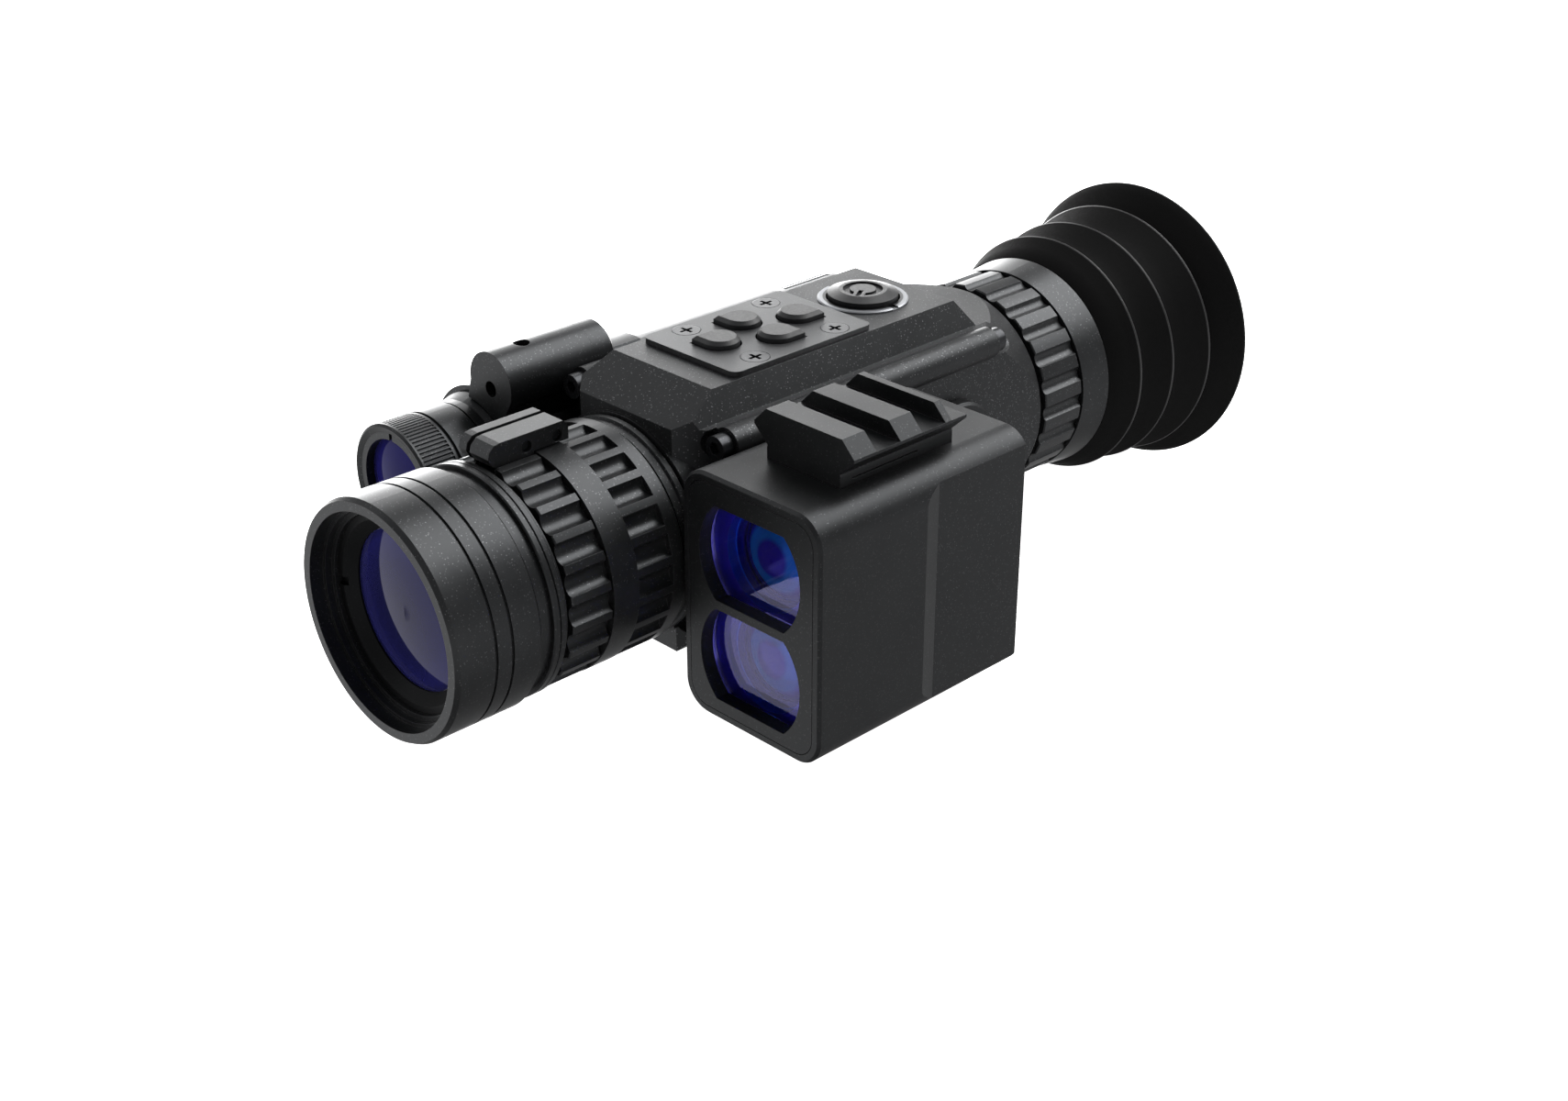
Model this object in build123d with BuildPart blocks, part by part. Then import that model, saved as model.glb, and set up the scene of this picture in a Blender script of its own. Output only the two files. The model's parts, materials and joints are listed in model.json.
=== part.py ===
from build123d import *
import math
import os

# Shared frame: origin in the foot's underside on the tripod thread, +Z up,
# objective towards -Y, eyepiece towards +Y, rangefinder on +X.
# "d" is the distance behind the hood's front face, "h" the height over the optical axis.
AXIS_Z = 25.0
FRONT_Y = -86.0

# Fits, radial
RUN_FIT = 0.04
LOOSE_FIT = 0.3

# Objective
HOOD_R = 19.65
HOOD_NECK_R = 18.4
FLANGE_D = (18.5, 20.9)
FLANGE_R = 19.25
TUBE_R = 15.0
TUBE_BORE_R = 13.4
FRONT_LENS_R = 14.0
FOCUS_RING_R = 19.0
FOCUS_RING_D = (22.3, 45.2)
FOCUS_BAND_D = (30.3, 35.3)
FOCUS_FLUTE_END = 42.45
FOCUS_FLUTE = (1.2, 2.0)
LEVER_D = (21.2, 36.8)
LEVER_H = 22.6
LEVER_FOOT_H = 17.65
LEVER_BACK_H = 19.3
LEVER_X = (-3.1, 1.45)
CLAMP_X = (-5.9, -4.0)
LEVER_SCREW_D = (28.6, 34.55)
LEVER_SCREW_H = 20.45
FOCUS_CELL_D = (30.0, 40.0)
FLUTES = 24
PIN_R = 0.8

# Body
BODY_D = (49.5, 57.5, 114.6, 132.2)
BODY_HALF_W = 18.9
BODY_FLAT_W = 11.15
BODY_HALF_H = 19.8
DECK_H = 24.6
DECK_HALF_W = 11.8
REAR_SLOPE_L = 4.0
REAR_SLOPE_H = 19.0
REAR_SLOPE_HALF_W = 14.2
ROD_X = 17.5
ROD_H = 17.6
ROD_R = 2.8
BORE_R = 16.8
LOW_SCREW_X = 13.6
LOW_SCREW_H = -14.2
SCREW_R = 1.25
HEAD_R = 2.1
HEAD_L = 2.5
REAR_LOW_HEAD_D = 123.0
REAR_ROD_HEAD_D = 117.6

# Controls
PLATE_H = 25.5
PLATE_HALF_W = 11.3
PLATE_D = (63.1, 94.9)
KEY_R = 3.3
KEY_FLANGE = 0.6
KEY_TRAVEL = 0.8
KEYS = {
    "key_front": (0.0, 70.4, 225),
    "key_left": (-4.3, 79.2, 225),
    "key_right": (4.3, 79.2, 45),
    "key_rear": (0.0, 88.0, 45),
}
SCREW_HEAD_GAP = 0.1
PLATE_SCREWS = [(-8.3, 70.4), (8.3, 70.4), (-8.3, 88.8), (8.3, 88.8)]
POWER_D = 104.2
POWER_R = 6.2
POWER_TOP = (26.4, 4.2)
POWER_BUSH = 0.7
BEZEL_R = POWER_R + 1.75
PORT_D = 107.0
PORT_H = 0.8
PORT_R = 6.0
PORT_CAP_R = 9.3

# Eyepiece
EYE_TUBE_R = 15.6
EYE_BORE_R = 13.6
DIOPTER_R = 19.4
DIOPTER_D = (132.7, 142.9)
OCULAR_D = (134.5, 143.5)
CONE_D = (143.2, 149.8)

# Rangefinder
LRF_X = (19.5, 49.6)
LRF_H = (-23.5, 18.9)
LRF_D = (43.9, 90.7)
LRF_STEP_D = (67.0, 70.4)
LRF_STEP = 0.86
LRF_CORNER = 5.2
PANEL_INSET = 1.5
PANEL_T = 2.5
PANEL_GAP = 0.1
WINDOW_X = 34.4
WINDOW_H = (6.0, -11.65)
WINDOW_R = 11.0
WINDOW_HALF_H = 8.05
RAIL_X = 35.5
RAIL_D = (54.3, 79.1)
RAIL_TOP_H = 27.0
RAIL_PITCH = 10.01
RAIL_SLOT = 5.23
RAIL_SCREW_D = (60.6, 72.8)
LRF_SCREW_D = 72.0
LRF_SCREW_H = (11.0, -11.0)

# Illuminator
IR_X = -32.9
IR_H = 2.5
IR_HEAD_R = 11.05
IR_BODY_R = 11.75
IR_CAP_R = 11.1
IR_BORE_R = 9.3
IR_SPIGOT_R = 9.7
IR_KNURL = 90
BRACKET_SCREW_D = (69.0, 76.0)
BRACKET_SCREW_H = 12.4

# Pointer
POINTER_X = -26.2
POINTER_H = 18.5
POINTER_R = 5.5
POINTER_D = (42.8, 65.4)

# Foot
FOOT_HALF_W = 12.0
FOOT_D = (60.0, 112.0)
FOOT_SCREWS = [(-8.0, 64.5), (8.0, 64.5), (-8.0, 107.5), (8.0, 107.5)]
TRIPOD_R = 3.175
FOOT_BOLT_R = 2.0
FOOT_BOLTS = [(-8.0, 74.0), (8.0, 74.0), (-8.0, 98.0), (8.0, 98.0)]

SIDES = (-1, 1)


def place(x, d, h):
    """Row-frame point of an offset x, a distance d and a height h."""
    return (x, FRONT_Y + d, AXIS_Z + h)


def turn(points, x=0.0, h=0.0, mode=Mode.ADD):
    """Revolves (d, radius) points about a line along Y through x and h."""
    plane = Plane((x, 0, AXIS_Z + h), x_dir=(0, 1, 0), z_dir=(1, 0, 0))
    with BuildSketch(plane) as profile:
        with BuildLine():
            Polyline(*[(FRONT_Y + d, r) for d, r in points], close=True)
        make_face()
    revolve(profile.sketch, axis=Axis((x, 0, AXIS_Z + h), (0, 1, 0)), mode=mode)


def sleeve(d0, d1, r_out, r_in=0.0, x=0.0, h=0.0, mode=Mode.ADD):
    """Cylinder or tube along Y."""
    turn([(d0, r_in), (d1, r_in), (d1, r_out), (d0, r_out)], x, h, mode)


def face_plane(d):
    """Plane across the optical axis with x to the right and y up, seen from the front."""
    return Plane((0, FRONT_Y + d, AXIS_Z), x_dir=(1, 0, 0), z_dir=(0, -1, 0))


def prism(outline, d0, d1, mode=Mode.ADD):
    """Extrudes an (x, h) outline along Y."""
    with BuildSketch(face_plane(d0)) as section:
        with BuildLine():
            Polyline(*outline, close=True)
        make_face()
    extrude(section.sketch, amount=d0 - d1, mode=mode)


def block(x0, x1, d0, d1, h0, h1, mode=Mode.ADD):
    """Box between two corners."""
    with Locations(place((x0 + x1) / 2, (d0 + d1) / 2, (h0 + h1) / 2)):
        Box(x1 - x0, d1 - d0, h1 - h0, mode=mode)


def upright(x, d, h0, h1, r, mode=Mode.ADD):
    """Cylinder along Z."""
    with Locations(place(x, d, (h0 + h1) / 2)):
        Cylinder(r, h1 - h0, mode=mode)


def crosswise(x0, x1, d, h, r, mode=Mode.ADD):
    """Cylinder along X."""
    with Locations(Location(place((x0 + x1) / 2, d, h), (0, 90, 0))):
        Cylinder(r, x1 - x0, mode=mode)


def flutes(d0, d1, ring_r, depth, cutter_r, count=FLUTES, x=0.0, h=0.0):
    """Cuts evenly spaced scallops along a ring's outside."""
    centre_r = ring_r - depth + cutter_r
    plane = Plane((x, FRONT_Y + d0, AXIS_Z + h), x_dir=(1, 0, 0), z_dir=(0, -1, 0))
    with BuildSketch(plane) as cuts:
        with PolarLocations(centre_r, count):
            Circle(cutter_r)
    extrude(cuts.sketch, amount=d0 - d1, mode=Mode.SUBTRACT)


def rounded_bar(x0, x1, d0, d1, h0, h1, radius, mode=Mode.ADD):
    """Rounded rectangle in x and h, extruded along Y."""
    with BuildSketch(face_plane(d0)) as section:
        with Locations(((x0 + x1) / 2, (h0 + h1) / 2)):
            RectangleRounded(x1 - x0, h1 - h0, radius)
    extrude(section.sketch, amount=d0 - d1, mode=mode)


def body_section():
    """Outline of the body across the optical axis, without the screw rods."""
    right = [
        (BODY_FLAT_W, -BODY_HALF_H),
        (BODY_HALF_W, -12.0),
        (BODY_HALF_W, 16.0),
        (17.0, 19.6),
        (14.2, BODY_HALF_H),
        (DECK_HALF_W, DECK_H),
    ]
    left = [(-x, h) for x, h in reversed(right)]
    return right + left


# Objective


def make_hood():
    with BuildPart() as hood:
        turn(
            [
                (0, 17.6),
                (0, 19.2),
                (0.8, HOOD_R),
                (7.1, HOOD_R),
                (7.1, 19.3),
                (7.6, 19.3),
                (7.6, HOOD_R),
                (10.1, HOOD_R),
                (10.1, 19.3),
                (10.6, 19.3),
                (10.6, HOOD_R),
                (15.5, HOOD_R),
                (15.9, HOOD_R - 0.4),
                (15.9, HOOD_NECK_R),
                (21.6, HOOD_NECK_R),
                (21.6, TUBE_R),
                (9.6, TUBE_R),
                (9.6, FRONT_LENS_R),
                (6.2, FRONT_LENS_R),
                (6.2, 16.2),
                (3.6, 16.2),
                (3.6, 17.0),
                (2.4, 17.0),
                (2.4, 17.6),
            ]
        )
    hood.part.label = "hood"
    export_step(hood.part, "parts/hood.step")


def make_flange_ring():
    with BuildPart() as flange_ring:
        d0, d1 = FLANGE_D
        middle = (d0 + d1) / 2
        turn(
            [
                (d0, HOOD_NECK_R),
                (d0, FLANGE_R - 0.2),
                (d0 + 0.2, FLANGE_R),
                (middle - 0.15, FLANGE_R),
                (middle, FLANGE_R - 0.3),
                (middle + 0.15, FLANGE_R),
                (d1 - 0.2, FLANGE_R),
                (d1, FLANGE_R - 0.2),
                (d1, HOOD_NECK_R),
            ]
        )
    flange_ring.part.label = "flange_ring"
    export_step(flange_ring.part, "parts/flange_ring.step")


def make_lens_retainer():
    with BuildPart() as lens_retainer:
        turn([(4.3, 15.0), (4.3, 16.2), (6.2, 16.2), (6.2, 13.2), (5.9, 13.2)])
        for side in SIDES:
            block(side * 15.4 - 1.0, side * 15.4 + 1.0, 4.0, 5.0, -0.7, 0.7, Mode.SUBTRACT)
    lens_retainer.part.label = "lens_retainer"
    export_step(lens_retainer.part, "parts/lens_retainer.step")


def lens(d0, d1, rim_r, dome_r, bulge, x=0.0, h=0.0):
    """Lens along Y with a domed front standing bulge in front of its rim."""
    sphere_r = (dome_r**2 + bulge**2) / (2 * bulge)
    half_sag = sphere_r - math.sqrt(sphere_r**2 - dome_r**2 / 4)
    y0, y1 = FRONT_Y + d0, FRONT_Y + d1
    rim = [(y1, 0), (y1, rim_r), (y0, rim_r)]
    if rim_r > dome_r:
        rim.append((y0, dome_r))
    plane = Plane((x, 0, AXIS_Z + h), x_dir=(0, 1, 0), z_dir=(1, 0, 0))
    with BuildSketch(plane) as profile:
        with BuildLine():
            Polyline(*rim)
            ThreePointArc((y0, dome_r), (y0 - bulge + half_sag, dome_r / 2), (y0 - bulge, 0))
            Line((y0 - bulge, 0), (y1, 0))
        make_face()
    revolve(profile.sketch, axis=Axis((x, 0, AXIS_Z + h), (0, 1, 0)))


def make_front_lens():
    with BuildPart() as front_lens:
        lens(6.2, 9.6, FRONT_LENS_R, 13.1, 1.2)
    front_lens.part.label = "front_lens"
    export_step(front_lens.part, "parts/front_lens.step")


def make_objective_tube():
    with BuildPart() as objective_tube:
        sleeve(9.6, 54.0, TUBE_R, TUBE_BORE_R)
        slot_d = (sum(FOCUS_CELL_D)) / 2
        slot_r = PIN_R + LOOSE_FIT
        block(-slot_r, slot_r, slot_d - 1.6, slot_d + 1.6, -TUBE_R - 1, -TUBE_BORE_R + 1, Mode.SUBTRACT)
        for end in (-1.6, 1.6):
            upright(0, slot_d + end, -TUBE_R - 1, -TUBE_BORE_R + 1, slot_r, Mode.SUBTRACT)
    objective_tube.part.label = "objective_tube"
    export_step(objective_tube.part, "parts/objective_tube.step")


def make_focus_cell():
    cell_r = TUBE_BORE_R - RUN_FIT
    middle = sum(FOCUS_CELL_D) / 2
    with BuildPart() as focus_cell:
        sleeve(FOCUS_CELL_D[0], FOCUS_CELL_D[1], cell_r, 11.0)
        sleeve(middle + 1.0, FOCUS_CELL_D[1], 11.5, 9.6)
        upright(0, middle, -16.3, -12.0, PIN_R)
    focus_cell.part.label = "focus_cell"
    export_step(focus_cell.part, "parts/focus_cell.step")


def make_focus_lens():
    middle = sum(FOCUS_CELL_D) / 2
    with BuildPart() as focus_lens:
        lens(FOCUS_CELL_D[0] + 2.5, middle + 1.0, 11.0, 11.0, 1.4)
    focus_lens.part.label = "focus_lens"
    export_step(focus_lens.part, "parts/focus_lens.step")


def lever_plate(x0, x1):
    """Upright plate with a round nose, standing in a pocket of the focus ring."""
    d0, d1 = LEVER_D
    with BuildSketch(Plane((x0, FRONT_Y, AXIS_Z), x_dir=(0, 1, 0), z_dir=(1, 0, 0))) as side:
        with BuildLine():
            Polyline(
                (d0 + 2.6, LEVER_FOOT_H),
                (d0 + 0.6, 19.2),
                (d0, 20.4),
                (d0 + 0.3, 21.5),
                (d0 + 1.3, LEVER_H - 0.2),
                (d0 + 2.4, LEVER_H),
                (d1 - 1.0, LEVER_H),
                (d1 - 0.3, LEVER_H - 0.5),
                (d1, LEVER_H - 1.3),
                (d1, LEVER_BACK_H),
                (FOCUS_BAND_D[0] - 0.4, LEVER_BACK_H),
                (FOCUS_BAND_D[0] - 0.4, LEVER_FOOT_H),
                close=True,
            )
        make_face()
    extrude(side.sketch, amount=x1 - x0)


def make_focus_ring():
    middle = sum(FOCUS_CELL_D) / 2
    d0, d1 = FOCUS_RING_D
    band, band_end = FOCUS_BAND_D
    depth, cutter = FOCUS_FLUTE
    bore = TUBE_R + RUN_FIT
    with BuildPart() as focus_ring:
        turn(
            [
                (d0, bore),
                (d0, FOCUS_RING_R - 0.2),
                (d0 + 0.2, FOCUS_RING_R),
                (band - 0.35, FOCUS_RING_R),
                (band - 0.35, FOCUS_RING_R - depth - 0.1),
                (band, FOCUS_RING_R - depth - 0.1),
                (band, FOCUS_RING_R + 0.1),
                (band_end, FOCUS_RING_R + 0.1),
                (band_end, FOCUS_RING_R),
                (d1 - 0.4, FOCUS_RING_R),
                (d1, FOCUS_RING_R - 0.4),
                (d1, bore),
                (middle + 3.2, bore),
                (middle + 3.2, 16.8),
                (middle - 3.2, 16.8),
                (middle - 3.2, bore),
            ]
        )
        flutes(d0 - 1, band, FOCUS_RING_R, depth, cutter)
        flutes(band_end, FOCUS_FLUTE_END, FOCUS_RING_R, depth, cutter)
        x0, x1 = LEVER_X
        block(x0 - 0.05, x1 + 0.05, d0 - 1, band - 0.35, LEVER_FOOT_H - 0.05, 20.0, Mode.SUBTRACT)
        lever_plate(*CLAMP_X)
        block(*CLAMP_X, d0 + 1.6, LEVER_D[1], LEVER_FOOT_H - 0.4, LEVER_BACK_H + 0.5)
        for d in LEVER_SCREW_D:
            crosswise(-5.2, -3.0, d, LEVER_SCREW_H, 0.7, Mode.SUBTRACT)
    focus_ring.part.label = "focus_ring"
    export_step(focus_ring.part, "parts/focus_ring.step")


def make_focus_lever():
    with BuildPart() as focus_lever:
        lever_plate(*LEVER_X)
        for d in LEVER_SCREW_D:
            crosswise(CLAMP_X[1], LEVER_X[0], d, LEVER_SCREW_H, 1.1)
            crosswise(-4.4, 2.0, d, LEVER_SCREW_H, 0.7, Mode.SUBTRACT)
            crosswise(-0.2, 2.0, d, LEVER_SCREW_H, 1.0, Mode.SUBTRACT)
    focus_lever.part.label = "focus_lever"
    export_step(focus_lever.part, "parts/focus_lever.step")


def make_lever_screws():
    with BuildPart() as lever_screws:
        for d in LEVER_SCREW_D:
            crosswise(-5.1, -0.2, d, LEVER_SCREW_H, 0.7)
            crosswise(-0.2, 0.6, d, LEVER_SCREW_H, 1.0)
    lever_screws.part.label = "lever_screws"
    export_step(lever_screws.part, "parts/lever_screws.step")


# Body


def cut_screw_holes(d0, d1, radius):
    """Four holes along Y, at the rods and at the lower corners."""
    for side in SIDES:
        sleeve(d0, d1, radius, 0.0, side * ROD_X, ROD_H, Mode.SUBTRACT)
        sleeve(d0, d1, radius, 0.0, side * LOW_SCREW_X, LOW_SCREW_H, Mode.SUBTRACT)


def make_front_housing():
    d0, d1 = BODY_D[0], BODY_D[1]
    with BuildPart() as front_housing:
        prism(body_section(), d0, d1)
        with BuildSketch(Plane.YZ) as slope:
            with BuildLine():
                y0, y1, z0, z1 = FRONT_Y + d0, FRONT_Y + d1, AXIS_Z + BODY_HALF_H, AXIS_Z + DECK_H
                Polyline((y0 - 0.1, z0), (y0, z0), (y1, z1), (y1, z1 + 9), (y0 - 0.1, z1 + 9), close=True)
            make_face()
        extrude(slope.sketch, amount=40, both=True, mode=Mode.SUBTRACT)
        for side in SIDES:
            with BuildSketch(Plane.XY) as bevel:
                with BuildLine():
                    x0, x1 = side * BODY_FLAT_W, side * (BODY_HALF_W + 0.05)
                    wide = side * 40
                    Polyline((x0, y0 - 0.1), (x0, y0), (x1, y1), (wide, y1), (wide, y0 - 0.1), close=True)
                make_face()
            extrude(bevel.sketch, amount=80, both=True, mode=Mode.SUBTRACT)
            sleeve(d0 - 1, 55.3, 3.2, 0.0, side * ROD_X, ROD_H, Mode.SUBTRACT)
            sleeve(55.3, d1, ROD_R, 0.0, side * ROD_X, ROD_H)
        turn(
            [
                (45.8, TUBE_R),
                (45.8, 18.1),
                (47.2, 18.1),
                (47.4, 18.6),
                (48.4, 18.6),
                (48.4, 17.8),
                (48.9, 17.8),
                (48.9, 19.0),
                (d1, 19.0),
                (d1, TUBE_R),
            ]
        )
        cut_screw_holes(55.3, d1, SCREW_R + 0.15)
        for side in SIDES:
            sleeve(d0 - 1, 55.3, 2.4, 0.0, side * LOW_SCREW_X, LOW_SCREW_H, Mode.SUBTRACT)
        sleeve(45.0, 54.0, TUBE_R, mode=Mode.SUBTRACT)
        sleeve(54.0, d1, 16.4, mode=Mode.SUBTRACT)
    front_housing.part.label = "front_housing"
    export_step(front_housing.part, "parts/front_housing.step")


def pocket_outlines(margin):
    """Two crossing boxes (x0, x1, d0, d1) that hold the key flanges and board."""
    wide = (-10.6 + margin, 10.6 - margin, 73.9 + margin, 84.5 - margin)
    long = (-5.4 + margin, 5.4 - margin, 64.0 + margin, 94.4 - margin)
    return wide, long


def make_main_housing():
    d0, d1 = BODY_D[1], BODY_D[2]
    with BuildPart() as main_housing:
        prism(body_section(), d0, d1)
        for side in SIDES:
            sleeve(d0, d1, ROD_R, 0.0, side * ROD_X, ROD_H)
        sleeve(d0, d1, BORE_R, mode=Mode.SUBTRACT)
        for x0, x1, e0, e1 in pocket_outlines(0.0):
            block(x0, x1, e0, e1, 19.6, DECK_H + 1, Mode.SUBTRACT)
        upright(0, POWER_D, 20.6, DECK_H + 1, POWER_R + POWER_BUSH, Mode.SUBTRACT)
        for x, d in PLATE_SCREWS:
            upright(x, d, 20.6, DECK_H + 1, SCREW_R, Mode.SUBTRACT)
        for x, d in FOOT_SCREWS:
            upright(x, d, -BODY_HALF_H - 1, -BODY_HALF_H + 3.5, 1.5, Mode.SUBTRACT)
        crosswise(15.0, 19.5, PORT_D, PORT_H, PORT_R, Mode.SUBTRACT)
        for h in LRF_SCREW_H:
            crosswise(14.0, 19.5, LRF_SCREW_D, h, 1.5, Mode.SUBTRACT)
        for d in BRACKET_SCREW_D:
            crosswise(-19.5, -15.9, d, BRACKET_SCREW_H, SCREW_R, Mode.SUBTRACT)
        cut_screw_holes(d0, d0 + 12, SCREW_R)
        cut_screw_holes(d1 - 12, d1, SCREW_R)
    main_housing.part.label = "main_housing"
    export_step(main_housing.part, "parts/main_housing.step")


def make_rear_housing():
    d0, d1 = BODY_D[2], BODY_D[3]
    with BuildPart() as rear_housing:
        prism(body_section(), d0, d1)
        with BuildPart(mode=Mode.PRIVATE) as cone:
            turn([(d0, 0), (d0, 27.4), (d1 - 0.6, 18.95), (d1 - 0.4, 18.4), (d1, 18.4), (d1, 0)])
        add(cone.part, mode=Mode.INTERSECT)
        with BuildSketch(Plane.YZ.offset(-REAR_SLOPE_HALF_W)) as slope:
            with BuildLine():
                y0, y1, y2 = (FRONT_Y + d for d in (d0, d0 + REAR_SLOPE_L, d1 + 1))
                low, high = AXIS_Z + REAR_SLOPE_H, AXIS_Z + DECK_H
                Polyline((y0, high), (y1, low), (y2, low), (y2, high + 5), (y0, high + 5), close=True)
            make_face()
        extrude(slope.sketch, amount=2 * REAR_SLOPE_HALF_W, mode=Mode.SUBTRACT)
        for side in SIDES:
            sleeve(REAR_ROD_HEAD_D, d1, 2.6, 0.0, side * ROD_X, ROD_H, Mode.SUBTRACT)
            sleeve(REAR_LOW_HEAD_D, d1, 2.5, 0.0, side * LOW_SCREW_X, LOW_SCREW_H, Mode.SUBTRACT)
            sleeve(d0, REAR_ROD_HEAD_D, ROD_R, 0.0, side * ROD_X, ROD_H)
        cut_screw_holes(d0, REAR_LOW_HEAD_D, SCREW_R + 0.15)
        sleeve(d0, 122.0, 14.6, mode=Mode.SUBTRACT)
        sleeve(122.0, d1, EYE_TUBE_R, mode=Mode.SUBTRACT)
    rear_housing.part.label = "rear_housing"
    export_step(rear_housing.part, "parts/rear_housing.step")


def cap_screw(d_head, d_tip, x, h):
    """Socket-head screw along Y; the head sits on d_head, away from the tip."""
    away = -1 if d_tip > d_head else 1
    head_end = d_head + away * HEAD_L
    sleeve(min(d_head, d_tip), max(d_head, d_tip), SCREW_R, 0.0, x, h)
    sleeve(min(d_head, head_end), max(d_head, head_end), HEAD_R, 0.0, x, h)
    end = Plane((x, FRONT_Y + head_end, AXIS_Z + h), x_dir=(1, 0, 0), z_dir=(0, away, 0))
    with BuildSketch(end) as key_socket:
        RegularPolygon(1.15, 6)
    extrude(key_socket.sketch, amount=-1.4, mode=Mode.SUBTRACT)


def make_housing_screws():
    with BuildPart() as housing_screws:
        for side in SIDES:
            cap_screw(55.3, 68.0, side * ROD_X, ROD_H)
            cap_screw(55.3, 68.0, side * LOW_SCREW_X, LOW_SCREW_H)
            cap_screw(REAR_ROD_HEAD_D, 104.9, side * ROD_X, ROD_H)
            cap_screw(REAR_LOW_HEAD_D, 104.9, side * LOW_SCREW_X, LOW_SCREW_H)
    housing_screws.part.label = "housing_screws"
    export_step(housing_screws.part, "parts/housing_screws.step")


# Controls


def key_outline(x, d, h, angle, grow):
    """Round key with one square corner, as a sketch at height h."""
    away = (math.cos(math.radians(angle)), math.sin(math.radians(angle)), 0)
    with BuildSketch(Plane(place(x, d, h), x_dir=away, z_dir=(0, 0, 1))) as outline:
        side = KEY_R + grow
        Circle(side)
        with Locations((side * math.sqrt(0.5), 0)):
            Rectangle(side, side, rotation=45)
    return outline.sketch


def make_control_plate():
    with BuildPart() as control_plate:
        with BuildSketch(Plane(place(0, sum(PLATE_D) / 2, DECK_H))):
            RectangleRounded(2 * PLATE_HALF_W, PLATE_D[1] - PLATE_D[0], 1.6)
        extrude(amount=PLATE_H - DECK_H)
        for x, d, angle in KEYS.values():
            extrude(key_outline(x, d, DECK_H - 1, angle, LOOSE_FIT), amount=4, mode=Mode.SUBTRACT)
        for x, d in PLATE_SCREWS:
            with Locations(place(x, d, (DECK_H + PLATE_H) / 2)):
                Cone(1.6, 2.5, PLATE_H - DECK_H, mode=Mode.SUBTRACT)
    control_plate.part.label = "control_plate"
    export_step(control_plate.part, "parts/control_plate.step")


def make_plate_screws():
    with BuildPart() as plate_screws:
        for x, d in PLATE_SCREWS:
            upright(x, d, 20.8, DECK_H, SCREW_R)
            with Locations(place(x, d, (DECK_H + PLATE_H) / 2)):
                Cone(1.6 - SCREW_HEAD_GAP, 2.5 - SCREW_HEAD_GAP, PLATE_H - DECK_H)
            block(x - 1.3, x + 1.3, d - 0.3, d + 0.3, PLATE_H - 0.6, PLATE_H + 1, Mode.SUBTRACT)
            block(x - 0.3, x + 0.3, d - 1.3, d + 1.3, PLATE_H - 0.6, PLATE_H + 1, Mode.SUBTRACT)
    plate_screws.part.label = "plate_screws"
    export_step(plate_screws.part, "parts/plate_screws.step")


def make_keys():
    for name, (x, d, angle) in KEYS.items():
        with BuildPart() as key:
            extrude(key_outline(x, d, 24.2, angle, 0.0), amount=2.6)
            chamfer(key.faces().sort_by(Axis.Z)[-1].edges(), 0.6)
            extrude(key_outline(x, d, 23.3, angle, KEY_FLANGE), amount=0.9)
            upright(x, d, 22.3, 23.3, 1.2)
        key.part.label = name
        export_step(key.part, "parts/" + name + ".step")


def make_key_board():
    with BuildPart() as key_board:
        for x0, x1, d0, d1 in pocket_outlines(0.2):
            block(x0, x1, d0, d1, 19.6, 20.6)
        for x, d, angle in KEYS.values():
            upright(x, d, 20.6, 21.3, 2.2)
    key_board.part.label = "key_board"
    export_step(key_board.part, "parts/key_board.step")


def make_power():
    with BuildPart() as power_bezel:
        upright(0, POWER_D, DECK_H, DECK_H + 0.4, BEZEL_R)
        chamfer(power_bezel.faces().sort_by(Axis.Z)[-1].edges(), 0.2)
        upright(0, POWER_D, 21.6, DECK_H, POWER_R + POWER_BUSH)
        upright(0, POWER_D, 21.0, DECK_H + 2, POWER_R + LOOSE_FIT, Mode.SUBTRACT)
        for side in SIDES:
            notch = side * (BEZEL_R - 0.35)
            block(notch - 1.2, notch + 1.2, POWER_D - 0.7, POWER_D + 0.7, 24.7, 26.0, Mode.SUBTRACT)
    power_bezel.part.label = "power_bezel"
    export_step(power_bezel.part, "parts/power_bezel.step")
    top, top_r = POWER_TOP
    with BuildPart() as power_button:
        upright(0, POWER_D, 22.6, 25.8, POWER_R)
        with Locations(place(0, POWER_D, (25.8 + top) / 2)):
            Cone(POWER_R, top_r, top - 25.8)
        upright(0, POWER_D, 22.2, 22.6, 1.2)
        with BuildSketch(Plane(place(0, POWER_D, top - 0.45))) as mark:
            Circle(3.5)
            Circle(2.3, mode=Mode.SUBTRACT)
            with Locations((1.5, -2.6)):
                Rectangle(2.0, 2.0, rotation=-60, mode=Mode.SUBTRACT)
            with Locations((1.25, -2.17)):
                Rectangle(0.8, 3.0, rotation=30)
        extrude(mark.sketch, amount=1.0, mode=Mode.SUBTRACT)
    power_button.part.label = "power_button"
    export_step(power_button.part, "parts/power_button.step")
    with BuildPart() as power_switch:
        block(-2.2, 2.2, POWER_D - 2.2, POWER_D + 2.2, 20.6, 21.5)
    power_switch.part.label = "power_switch"
    export_step(power_switch.part, "parts/power_switch.step")


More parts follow.
